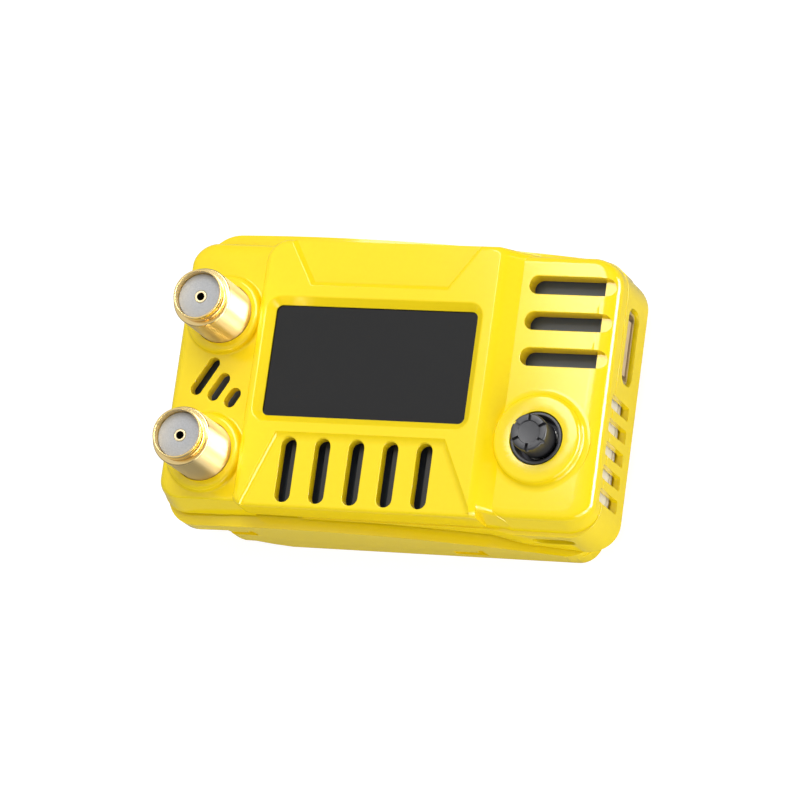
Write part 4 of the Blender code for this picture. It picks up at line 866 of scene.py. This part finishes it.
    def _boss(self, centre: Point, boss: Boss, level: float) -> Solid:
        """A round boss on a face at a level."""
        radius, spread, edge, top = boss.diameter / 2, boss.spread, boss.edge, level + boss.height
        reach, foot = radius + spread, boss.height - edge
        profile = [(0.0, self.right_ceiling), (reach, self.right_ceiling), (reach, level)]
        turns = quarter()[1:]
        profile += [(radius + spread * (1 - math.sin(t)), level + foot * (1 - math.cos(t))) for t in turns]
        profile += [(radius - edge * (1 - math.cos(t)), top - edge * (1 - math.sin(t))) for t in turns]
        return turned("boss", profile + [(0.0, top)], centre)

    def _slope_foot(self) -> Solid:
        """Cutter that rounds the lower end of the slope over to the column's lower edge."""
        edge = self.right_edges[2]
        start = self.platform_right + self._slope * self.lower_recess.depth
        foot = self.platform_right + self.slope_run
        end = self.column_left + self.column_flare
        above = self.platform_level + CLEAR
        rings = []
        for x, front in ((start, self.platform_level - self.lower_recess.depth), (foot, self.right_level),
                         (end, self.right_level)):
            share = (x - self.column_left) / self.column_flare
            y = self.bottom + (self.column_bottom - self.bottom) * share
            line = [(y - CLEAR_SIDE, self.crease), (y + edge.ledge, self.crease)]
            for turn in quarter():
                level = front - edge.rise * (1 - math.sin(turn))
                line.append((y + edge.inset(level, self.crease, front), level + SKIN))
            line += [(line[-1][0], above), (y - CLEAR_SIDE, above)]
            rings.append([(x, across, level) for across, level in line])
        return loft("slope_foot", rings)

    def _outside(self) -> Solid:
        """The outer form above the parting face."""
        left = Plan(self.case.left, self.platform_left + self.platform_corners[1] / 2, self.bottom,
                    self.top + self.left_rise, (self.left_corner, 0, 0, self.left_corner))
        flare = (self.column_flare, self.bottom - self.column_bottom + FIT)
        right = Plan(self.column_left, self.case.right, self.column_bottom, self.top,
                     (0, self.right_corner, self.right_corner, 0), flare)
        shell = moulded_block("case_front", left, self.crease, self.left_level, self.left_edges)
        column = moulded_block("column", right, self.crease, self.right_level, self.right_edges)
        combine(shell, Joining.ADD, column, self._platform())
        for place in self.jacks:
            combine(shell, Joining.ADD, self._boss(place, self.jack_boss, self.left_level))
        combine(shell, Joining.ADD, self._boss(self.joystick, self.knob_boss, self.right_level))
        combine(shell, Joining.CUT, self._slope_foot())
        above = self.case.parting_run(-FAR, FAR) + [(FAR, FAR), (-FAR, FAR)]
        return combine(shell, Joining.KEEP, prism("above_parting", above, -FAR, FAR, Axis.Y))

    def _hollow(self, shell: Solid) -> None:
        """Cuts the hollow behind the faces."""
        wall, middle_x, half = self.case.wall, self.window[0], self.screen_half
        x0, x1 = self.case.left + wall, self.case.right - self.side_wall
        y0, y1 = self.bottom + wall, self.top - wall
        low = self.column_bottom + wall
        lc, rc = self.left_corner - wall, self.right_corner - wall
        plans = (
            (Plan(x0, middle_x, y0, y1, (lc, 0, 0, lc)), -FIT, self.left_ceiling),
            (Plan(middle_x, x1 - self.port_wall, low, y1), -FIT, self.right_ceiling),
            (Plan(self.column_left, x1, low, y1, (0, rc, rc, 0)), self.column_floor, self.right_ceiling),
            (Plan(self.platform_left + wall, self.column_left - wall, y0, y1), -FIT, self.platform_ceiling),
            (Plan(middle_x - half, middle_x + half, self.screen_bottom, y0 + FIT), self.screen_back,
             self.platform_ceiling),
        )
        for plan, back, front in plans:
            combine(shell, Joining.CUT, prism("hollow", plan.outline(), back, front))

    def _cut_recess(self, shell: Solid, recess: Recess) -> None:
        """Cuts a shallow recess above or below the window."""
        end = self.top + self.case.wall if recess.way > 0 else self.bottom - self.case.wall
        profile = recess.profile(self.platform_level)
        combine(shell, Joining.CUT, mouth("recess", lambda drawn: recess.outline(end, drawn), profile))

    def _cut_display(self, shell: Solid) -> None:
        """Cuts the window with its slanted bezel, the seat behind it and the two recesses."""
        width, height = self.window_size
        level, depth = self.platform_level, self.bezel_depth
        profile = round_corners([(0.0, self.pane_back, 0), (0.0, self.bezel_foot, 0),
                                 (depth, level, self.bezel_edge), (2 * depth, level, 0)])[:-1]
        profile.append((profile[-1][0], level + FIT))
        opening = window_of(self.window, self.window_size, self.window_corner)
        combine(shell, Joining.CUT, mouth("bezel", opening, profile))
        rim = 2 * self.pane_rim + 2 * FIT
        seat = Plan.centred(self.window, width + rim, height + rim)
        combine(shell, Joining.CUT, prism("pane_seat", seat.outline(), self.case.board_top, self.pane_front))
        self._cut_recess(shell, self.upper_recess)
        self._cut_recess(shell, self.lower_recess)
        radius = self.recess_foot
        face, wall = level - self.lower_recess.depth, self.bottom + self.platform_ledge
        outline = [(wall - radius, face + radius), (wall + radius, face + radius)]
        outline += [(wall + radius * (1 - math.sin(t)), face - radius * (1 - math.cos(t))) for t in quarter()]
        outline.append((wall - radius, face - radius))
        start = self.platform_left + self.platform_corners[0]
        combine(shell, Joining.CUT, prism("recess_edge", outline, start, self.platform_right, Axis.X))

    def _lower_slots(self) -> list[Job]:
        """Outlines of the slots below the window, with where each ends and the face it opens in."""
        row = self.lower_slots
        head = self.window[1] - self.window_size[1] / 2 - row.margin - row.width / 2
        face = self.platform_level - self.lower_recess.depth
        jobs = []
        for i in range(row.count):
            x = self.window[0] + (i - (row.count - 1) / 2) * row.pitch
            slot = slot_of((x, head - row.length + row.width), (x, head), row.width)
            jobs.append((slot, self.platform_ceiling - FIT, face))
        return jobs

    def _column_slots(self, shell: Solid) -> list[Job]:
        """Cuts the deep part of the column's slots and returns their mouths, which are longer by a shelf."""
        row, (shelf, sunk) = self.column_slots, self.slot_pocket
        half, face = row.width / 2, self.right_level
        end = self.case.right - self.column_margin - half
        jobs = []
        for i in range(row.count):
            y = self.top - row.margin - i * row.pitch
            jobs.append((slot_of((end - row.length + row.width, y), (end, y), row.width), face - sunk, face))
            deep = Plan(end - row.length + half, end + half - shelf, y - half, y + half, (half, 0, 0, half))
            combine(shell, Joining.CUT, prism("slot_depth", deep.outline(), self.right_ceiling - FIT,
                                              face - sunk + FIT / 4))
        return jobs

    def _slanted_slots(self) -> list[Job]:
        """Outlines of the slanted slots between the jacks."""
        lean = math.radians(self.slant_angle)
        middle_y = sum(y for _, y in self.jacks) / len(self.jacks)
        jobs = []
        for i, length in enumerate(self.slant_lengths):
            x = self.jacks[0][0] - self.slant_start[0] + i * self.slant_pitch[0]
            y = middle_y - self.slant_start[1] + self.slant_pitch[1] * (1 - i)
            run = (length - self.slant_width) / 2
            dx, dy = run * math.cos(lean), run * math.sin(lean)
            slot = slot_of((x - dx, y - dy), (x + dx, y + dy), self.slant_width)
            jobs.append((slot, self.left_ceiling - FIT, self.left_level))
        return jobs

    def _cut_slots(self, shell: Solid) -> None:
        """Cuts the cooling slots of the front."""
        for outline, back, face in self._lower_slots() + self._column_slots(shell) + self._slanted_slots():
            cut_mouth(shell, outline, back, face, self.lip)

    def _cut_walls(self, shell: Solid) -> None:
        """Cuts the openings of the right wall and the slot in the lower wall."""
        right, row = self.case.right, self.side_vents
        inside = right - self.side_wall
        place = (self.window[1] + self.port_place[0], self.port_place[1])
        port = window_of(place, self.port_size, self.port_corner)
        cut_mouth(shell, port, inside - self.port_wall - FIT, right, self.lip, axis=Axis.X)
        for i in range(row.count):
            y = self.bottom + self.case.wall + row.margin + i * row.pitch
            place = (y, self.vent_foot + row.length / 2)
            vent = window_of(place, (row.width, row.length), self.vent_corner)
            cut_mouth(shell, vent, inside - FIT, right, self.lip, axis=Axis.X)
        length, height = self.key_slot
        end, z = right - self.key_place[0] - height / 2, self.key_place[1] + height / 2
        slot, face = slot_of((end - length + height, z), (end, z), height), self.column_bottom
        cut_mouth(shell, slot, face + self.case.wall + FIT, face, self.lip, -1, Axis.Y)

    def _cut_fittings(self, shell: Solid) -> None:
        """Cuts the holes of the jacks and the joystick, with rounded mouths."""
        back = self.case.board_top - self.fitting_depth
        width, rise = self.jack_seat
        for place in self.jacks:
            seat = Plan.centred(place, width, width).outline()
            combine(shell, Joining.CUT, prism("jack_seat", seat, back, self.case.board_top + rise))
            cut_mouth(shell, hole_of(place, self.jack_boss.hole), back,
                      self.left_level + self.jack_boss.height, self.lip)
        width, front = self.cup_seat
        combine(shell, Joining.CUT, disc("cup_seat", self.joystick, width, back, front))
        cut_mouth(shell, hole_of(self.joystick, self.knob_boss.hole), back,
                  self.right_level + self.knob_boss.height, self.lip / 2)

    def build(self) -> None:
        """Makes the shell and puts it in place of its CAD node."""
        shell = self._outside()
        self._hollow(shell)
        self._cut_display(shell)
        self._cut_slots(shell)
        self._cut_walls(shell)
        self._cut_fittings(shell)
        install(shade(shell), YELLOW_ABS, "front_shell", "case")


@dataclass
class RearShell:
    """The rear half of the case: a curved flange and the insert that enters the bay.

    The heel is a line of runs from the insert's left end and heights. boss_foot and boss_neck are radii, and
    screw_bore and screw_hole diameters, each with the height of its end. notch_stop is a width and a rise.
    """

    case: Case
    side_step: float = 0.25
    flange_corners: Sides = (3.5, 3.0, 3.0, 4.2)
    insert_left: float = -18.1
    insert_right: float = 21.9
    insert_y: float = 15.725
    insert_corners: Sides = (0.6, 2.4, 2.4, 0.6)
    heel: Sequence[Point] = ((0.0, 3.7), (0.8, 1.95), (1.95, 1.9), (3.6, 0.8), (5.5, 0.0))
    floor: float = 1.2
    left_floor: float = 1.0
    edge: float = 0.25
    boss_foot: Point = (2.75, 5.3)
    boss_neck: Point = (1.95, 8.4)
    screw_bore: Point = (3.9, 4.5)
    screw_hole: Point = (2.4, 8.6)
    bay_x: float = 2.0
    bay_rows: Sequence[tuple[int, float]] = ((9, -6.4), (5, 6.4))
    bay_pitch: float = 2.54
    bay_gap: float = 0.4
    bay_width: float = 2.9
    bay_corner: float = 0.1
    bay_lip: float = 0.15
    notch_length: float = 3.4
    notch_slit: float = 1.1
    notch_stop: Point = (0.6, 0.9)
    notch_depth: float = 0.5
    notch_levels: Point = (4.6, 1.1)
    notch_margin: float = 12.0

    def _outside(self) -> Solid:
        """The flange and the insert, with rounded edges."""
        case = self.case
        x0, x1 = case.left + self.side_step, self.insert_right
        start, end, insert_start = x0 - CLEAR, x1 + CLEAR, self.insert_left - CLEAR
        drop = case.parting_gap + case.flange_thickness
        band = case.parting_run(start, end, case.parting_gap) + case.parting_run(end, start, drop)
        shell = prism("case_rear", band, -FAR, FAR, Axis.Y)
        plan = Plan(x0, x1, -case.flange_y, case.flange_y, self.flange_corners)
        bevel(combine(shell, Joining.KEEP, prism("flange_plan", plan.outline(), -FAR, FAR)), self.edge)
        profile = case.parting_run(insert_start, end, case.parting_gap + case.flange_thickness / 2)
        profile += [(end, 0.0)] + [(self.insert_left + run, level) for run, level in reversed(self.heel)]
        profile.append((insert_start, self.heel[0][1] + 2 * CLEAR))
        insert = prism("insert", profile, -FAR, FAR, Axis.Y)
        plan = Plan(self.insert_left, x1, -self.insert_y, self.insert_y, self.insert_corners)
        combine(insert, Joining.KEEP, prism("insert_plan", plan.outline(), -FAR, FAR))
        return combine(shell, Joining.ADD, bevel(insert, self.edge))

    def _hollow(self, shell: Solid) -> None:
        """Cuts the hollow and stands the screw bosses in it."""
        case, steps = self.case, ROUND_STEPS // 2
        inner = self.insert_y - case.wall
        drop = case.parting_gap + case.flange_thickness - self.left_floor
        corners = (self.flange_corners[0] - case.wall, 0, 0, self.flange_corners[3] - case.wall)
        x0, x1 = case.left + self.side_step + case.wall, self.insert_left + 2 * case.wall
        left = Plan(x0, x1, -inner, inner, corners)
        combine(shell, Joining.CUT, prism("left_hollow", left.outline(), case.parting(case.left, drop), FAR))
        x0, x1 = self.insert_left + case.wall, self.insert_right - case.wall
        foot, top = self.insert_left + self.heel[-1][0], self.heel[0][1] + case.wall / 2
        profile = [(x0, FAR), (x0, top), (foot, self.floor), (x1, self.floor), (x1, FAR)]
        combine(shell, Joining.CUT, prism("insert_hollow", profile, -inner, inner, Axis.Y))
        back, (wide, step), (narrow, top) = self.floor / 2, self.boss_foot, self.boss_neck
        profile = [(0, back), (wide, back), (wide, step), (narrow, step), (narrow, top), (0, top)]
        for place in case.screws:
            combine(shell, Joining.ADD, turned("screw_boss", profile, place, steps))
        below = [(self.insert_left + run, level - LEAST_RADIUS) for run, level in self.heel]
        below += [(below[-1][0], -self.floor), (below[0][0], -self.floor)]
        combine(shell, Joining.CUT, prism("below_heel", below, -inner, inner, Axis.Y))
        (bore, bore_end), (hole, hole_end) = self.screw_bore, self.screw_hole
        for place in case.screws:
            combine(shell, Joining.CUT, disc("screw_bore", place, bore, -FIT, bore_end, steps),
                    disc("screw_hole", place, hole, self.floor, hole_end, steps))

    def _cut_openings(self, shell: Solid) -> None:
        """Cuts the mouths of the bay sockets and the snap notches of the upper and lower walls."""
        for ways, y in self.bay_rows:
            size = (ways * self.bay_pitch + self.bay_gap, self.bay_width)
            opening = window_of((self.bay_x, y), size, self.bay_corner)
            cut_mouth(shell, opening, self.floor + FIT, 0.0, self.bay_lip, -1)
        length, slit, (block, rise) = self.notch_length, self.notch_slit, self.notch_stop
        xs = (self.insert_left, self.insert_right - self.notch_margin - length)
        for side in (-1, 1):
            y0, y1 = sorted((side * (self.insert_y - self.notch_depth), side * (self.case.flange_y + FIT)))
            for x, z in zip(xs, self.notch_levels):
                end = x + length - LEAST_RADIUS
                slot = Plan(x - FIT, x + length, z, z + slit).outline()
                stop = Plan(end - block, end, z - LEAST_RADIUS, z + slit + rise).outline()
                combine(shell, Joining.CUT, prism("slit", slot, y0, y1, Axis.Y),
                        prism("stop", stop, y0, y1, Axis.Y))

    def build(self) -> None:
        """Makes the shell and puts it in place of its CAD node."""
        shell = self._outside()
        self._hollow(shell)
        self._cut_openings(shell)
        install(shade(shell), YELLOW_ABS, "rear_shell", "case")


@dataclass
class Jack:
    """One coaxial antenna jack: barrel, insulator and centre contact."""

    side: str
    base: float = 6.35
    base_height: float = 1.0
    base_edge: float = 0.15
    barrel: float = 3.175
    barrel_start: float = 0.8
    lip: float = 2.68
    groove: float = 2.575
    mouth: float = 2.475
    seat: float = 9.8
    lip_height: float = 0.9
    groove_height: float = 0.3
    shoulder_edge: float = 0.15
    groove_edge: float = 0.06
    tip_edge: float = 0.05
    recess: float = 0.95
    insulator_edge: float = 0.12
    contact: float = 0.65
    contact_edge: float = 0.08
    pin_hole: float = 0.425
    pin_depth: float = 3.0
    pin_edge: float = 0.03

    def _barrel(self, centre: Point, tip: float) -> None:
        """The barrel on its square base, with a polished lip and bore."""
        lip_back, start, fine = tip - self.lip_height, self.seat + self.barrel_start, self.groove_edge
        shoulder = lip_back - self.groove_height
        profile = round_corners([
            (self.mouth, start, 0), (self.barrel, start, 0), (self.barrel, shoulder, self.shoulder_edge),
            (self.groove, shoulder, fine), (self.groove, lip_back, fine), (self.lip, lip_back, fine),
            (self.lip, tip, self.tip_edge), (self.mouth, tip, self.tip_edge)], closed=True)
        body = turned(f"jack_barrel_{self.side}", profile, centre, hollow=True)
        plan = Plan.centred(centre, self.base, self.base)
        base = bevel(prism("base", plan.outline(), self.seat, self.seat + self.base_height), self.base_edge)
        combine(base, Joining.CUT, disc("bore", centre, 2 * self.mouth, 0.0, FAR))
        combine(body, Joining.ADD, base)
        install(shade(body), GOLD_PLATE, f"sma_body_{self.side}", "case")
        second_finish(body, GOLD_LIP, centre, lambda reach, z: reach < self.groove or z > shoulder - FIT)

    def _insulator(self, centre: Point, face: float) -> None:
        """The insulator in the barrel."""
        inner, outer, back = self.contact + SKIN, self.mouth - SKIN, self.seat + FIT
        ring = round_corners([(inner, back, 0), (outer, back, 0), (outer, face, self.insulator_edge),
                              (inner, face, self.insulator_edge)], closed=True)
        insulator = turned(f"jack_insulator_{self.side}", ring, centre, hollow=True)
        install(shade(insulator), PTFE, f"sma_insulator_{self.side}", "case")

    def _contact(self, centre: Point, face: float) -> None:
        """The centre contact, whose bore is painted black as painted shade."""
        back, hole, foot = face - self.pin_depth, self.pin_hole, self.seat + FIT
        profile = round_corners([
            (0, foot, 0), (self.contact, foot, 0), (self.contact, face, self.contact_edge),
            (hole, face, self.pin_edge), (hole, back, 0), (0, back, 0)])
        contact = shade(turned(f"jack_contact_{self.side}", profile, centre, ROUND_STEPS // 2))
        install(contact, GOLD_FACE, f"sma_contact_{self.side}", "case")
        # Painted shade: the faces inside the bore are made black, where the deep hole falls dark.
        second_finish(contact, PAINTED_BORE_SHADE, centre, lambda reach, z: reach < hole and z > back - LEAST_RADIUS)

    def build(self) -> None:
        """Makes the jack's pieces and puts them in place of their CAD nodes."""
        centre, tip = middle(f"sma_body_{self.side}"), front_of(f"sma_body_{self.side}")
        self._barrel(centre, tip)
        self._insulator(centre, tip - self.recess)
        self._contact(centre, tip - self.recess)


@dataclass
class Joystick:
    """What shows of the five-way switch: the grooved knob and the collar round it.

    collar_mouth is how far the collar's bore opens at its rim and over what depth.
    """

    radius: float = 1.95
    length: float = 3.4
    edge: float = 0.22
    foot_edge: float = 0.15
    dish: float = 1.2
    dish_depth: float = 0.15
    dish_edge: float = 0.05
    socket: float = 1.0
    socket_depth: float = 1.2
    socket_edge: float = 0.1
    notches: int = 6
    notch_width: float = 0.34
    notch_length: float = 0.8
    notch_depth: float = 0.5
    collar_wall: float = 0.45
    collar_mouth: Point = (0.15, 0.8)
    collar_edges: Point = (0.1, 0.06)

    def _knob(self) -> None:
        """The knob, which rides on the stick."""
        centre, top = middle("joystick_knob"), front_of("joystick_knob")
        back, floor = top - self.length, top - self.dish_depth
        end = back + self.socket_depth
        profile = round_corners([
            (0, end, 0), (self.socket, end, self.socket_edge), (self.socket, back, self.socket_edge),
            (self.radius, back, self.foot_edge), (self.radius, top, self.edge),
            (self.dish, top, self.dish_edge), (self.dish, floor, self.dish_edge), (0, floor, 0)])
        knob = turned("knob", profile, centre)
        half, start, rim = self.notch_width / 2, self.radius - self.notch_length, self.radius + FIT
        outline = round_corners([(start, -half, half), (rim, -half, 0), (rim, half, 0), (start, half, half)],
                                closed=True)
        for i in range(self.notches):
            notch = prism("notch", outline, top - self.notch_depth, top + FIT)
            turn = Matrix.Rotation(2 * math.pi * (i + 0.5) / self.notches, 4, "Z")
            notch.data.transform(Matrix.Translation(Vector((*centre, 0.0)) * MM) @ turn)
            combine(knob, Joining.CUT, notch)
        install(shade(knob), GREY_NYLON, "joystick_knob", "stick")

    def _collar(self) -> None:
        """The collar in the boss."""
        low, high = (tuple(v / MM for v in corner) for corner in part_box("joystick_collar"))
        outer = (high[0] - low[0]) / 2
        inner = outer - self.collar_wall
        spread, depth = self.collar_mouth
        profile = round_corners([
            (inner, low[2], 0), (outer, low[2], 0), (outer, high[2], self.collar_edges[0]),
            (inner + spread, high[2], self.collar_edges[1]), (inner, high[2] - depth, 0)], closed=True)
        collar = turned("collar", profile, middle("joystick_collar"), hollow=True)
        install(shade(collar), GREY_NYLON, "joystick_collar", "case")

    def build(self) -> None:
        """Makes the knob and the collar."""
        self._knob()
        self._collar()


@dataclass(frozen=True)
class Lamp:
    """A softbox, or a card that only shows in what mirrors it.

    Its way runs from the object to the lamp, its size is its width and height, and its level is the share
    of a plain white level that it gives a surface that faces it.
    """

    name: str
    way: Point3
    distance: float
    size: Point
    level: float
    card: bool = False

    def build(self, target: Point3) -> None:
        """Adds the lamp, turned to a target."""
        lamp = bpy.data.objects.new(self.name, bpy.data.lights.new(self.name, "AREA"))
        lamp.data.shape = "RECTANGLE"
        lamp.data.size, lamp.data.size_y = self.size[0] * MM, self.size[1] * MM
        lamp.data.energy = self.level * (math.pi * self.distance * MM) ** 2
        direction = Vector(self.way).normalized()
        lamp.location = (Vector(target) + direction * self.distance) * MM
        lamp.rotation_euler = direction.to_track_quat("Z", "Y").to_euler()
        lamp.visible_diffuse = not self.card
        bpy.context.collection.objects.link(lamp)


@dataclass
class Studio:
    """Camera, soft lights and a plain white floor.

    floor_glow is the floor's own light as gloss shows it and as the camera sees it.
    """

    place: Point3 = (185.3, -121.075, 469.05)
    right: Point3 = (0.93128, 0.13422, -0.33869)
    up: Point3 = (-0.04165, 0.96279, 0.26701)
    back: Point3 = (0.36192, -0.23456, 0.90222)
    lens: float = 220.5
    sensor: float = 36.0
    near: float = 10.0
    target: Point3 = (0.0, 0.0, 10.0)
    sky_way: Point3 = (-0.1, 0.15, 0.98)
    sky: Point3 = (-0.7, 0.0, 0.8)
    mirror_way: Point3 = (-0.36, 0.23, 0.9)
    mirror: Point3 = (0.2, 0.12, 0.72)
    floor_size: float = 1600.0
    floor_colour: str = "#E8E8E8"
    floor_roughness: float = 0.9
    floor_grey: float = 0.3
    floor_drop: float = 0.05
    floor_glow: Point = (0.05, 0.85)
    lamps: Sequence[Lamp] = (
        Lamp("key_panel", (-0.05, 0.45, 0.89), 260.0, (130.0, 130.0), 0.54),
        Lamp("front_panel", (0.68, -0.7, 0.25), 380.0, (260.0, 220.0), 0.38),
        Lamp("right_panel", (0.99, 0.1, 0.05), 380.0, (260.0, 40.0), 0.14),
        Lamp("side_card", (0.96, 0.235, 0.15), 350.0, (300.0, 110.0), 1.6, card=True),
        Lamp("jack_card", (0.88, -0.4, 0.25), 350.0, (260.0, 110.0), 0.6, card=True))

    def _camera(self) -> None:
        """Sets the camera at the photograph's angle."""
        camera = bpy.data.objects.new("camera", bpy.data.cameras.new("camera"))
        bpy.context.collection.objects.link(camera)
        rows = [(*row, spot * MM) for row, spot in zip(zip(self.right, self.up, self.back), self.place)]
        camera.matrix_world = Matrix((*rows, (0, 0, 0, 1)))
        camera.data.lens = self.lens
        camera.data.sensor_width = self.sensor
        camera.data.clip_start = self.near * MM
        bpy.context.scene.camera = camera

    @staticmethod
    def _seen(tree: Tree) -> tuple[Socket, Socket]:
        """Two values: one where a ray comes from the camera, a mirror or glass, one where from the camera."""
        path = add_node(tree, "LightPath").outputs
        mirror = add_node(tree, "Math", {"operation": "MAXIMUM"},
                          {0: path["Is Glossy Ray"], 1: path["Is Transmission Ray"]})
        seen = add_node(tree, "Math", {"operation": "MAXIMUM"},
                        {0: mirror.outputs[0], 1: path["Is Camera Ray"]})
        return seen.outputs[0], path["Is Camera Ray"]

    @staticmethod
    def _graded(tree: Tree, toward: Point3, span: Point3) -> Socket:
        """A strength that grows towards a direction.

        Args:
            tree: The world's node tree.
            toward: Where it is strongest.
            span: The cosine from that direction where it starts, and the least and the most strength.

        Returns:
            The strength.
        """
        way = add_node(tree, "TexCoord").outputs["Generated"]
        side = add_node(tree, "VectorMath", {"operation": "DOT_PRODUCT", 1: toward}, {0: way})
        level = add_node(tree, "MapRange", {"From Min": span[0], "To Min": span[1], "To Max": span[2]},
                         {"Value": side.outputs["Value"]})
        return level.outputs[0]

    def _world(self) -> None:
        """A white surround that gives an even light, and whose mirror image is brightest overhead."""
        world = bpy.data.worlds.new("studio")
        bpy.context.scene.world = world
        world.use_nodes = True
        tree = world.node_tree
        seen, camera = self._seen(tree)
        level = self._graded(tree, self.sky_way, self.sky)
        light = add_node(tree, "Background", {"Color": (1, 1, 1, 1)}, {"Strength": level})
        mirror = self._graded(tree, self.mirror_way, self.mirror)
        strength = add_node(tree, "Math", {"operation": "MAXIMUM"}, {0: camera, 1: mirror})
        white = add_node(tree, "Background", {"Color": (1, 1, 1, 1)}, {"Strength": strength.outputs[0]})
        both = add_node(tree, "MixShader", {}, {0: seen, 1: light.outputs[0], 2: white.outputs[0]})
        tree.links.new(both.outputs[0], tree.nodes["World Output"].inputs["Surface"])

    def _floor(self) -> None:
        """A pale floor that shows white and keeps the object's shadow."""
        half = self.floor_size / 2
        shape = bmesh.new()
        places = ((-half, -half), (half, -half), (half, half), (-half, half))
        shape.faces.new([shape.verts.new((x, y, -self.floor_drop)) for x, y in places])
        floor = as_object("floor", shape)
        material = bpy.data.materials.new("white_card")
        material.use_nodes = True
        tree = material.node_tree
        card = tree.nodes["Principled BSDF"]
        card.inputs["Base Color"].default_value = linear(self.floor_colour)
        card.inputs["Roughness"].default_value = self.floor_roughness
        lit = add_node(tree, "BsdfDiffuse", {"Color": (*(self.floor_grey,) * 3, 1)})
        seen, camera = self._seen(tree)
        least, most = self.floor_glow
        level = add_node(tree, "MapRange", {"To Min": least, "To Max": most}, {"Value": camera})
        glow = add_node(tree, "Emission", {"Color": (1, 1, 1, 1)}, {"Strength": level.outputs[0]})
        white = add_node(tree, "AddShader", {}, {0: lit.outputs[0], 1: glow.outputs[0]})
        both = add_node(tree, "MixShader", {}, {0: seen, 1: card.outputs[0], 2: white.outputs[0]})
        tree.links.new(both.outputs[0], tree.nodes["Material Output"].inputs["Surface"])
        floor.data.materials.append(material)

    def build(self) -> None:
        """Sets up the studio."""
        bpy.context.scene.view_settings.view_transform = "Standard"
        self._camera()
        self._world()
        self._floor()
        for lamp in self.lamps:
            lamp.build(self.target)


def dress_nodes(frame: dict) -> None:
    """Gives each CAD node that stays its finish and reports it."""
    for node, finish in NODE_FINISHES.items():
        piece = frame["nodes"][node]
        for place in piece.material_slots:
            place.material = finish.material()
        log.info("%s keeps its CAD shape in %s", node, finish.name)


def main() -> None:
    """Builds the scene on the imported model."""
    logging.basicConfig(level=logging.INFO, format="%(name)s: %(message)s")
    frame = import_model()
    Studio().build()
    case = Case()
    jacks = [middle("sma_body_upper"), middle("sma_body_lower")]
    FrontShell(case, middle("display_window"), jacks, middle("joystick_knob")).build()
    RearShell(case).build()
    for side in ("upper", "lower"):
        Jack(side).build()
    Joystick().build()
    dress_nodes(frame)


if __name__ == "__main__":
    main()
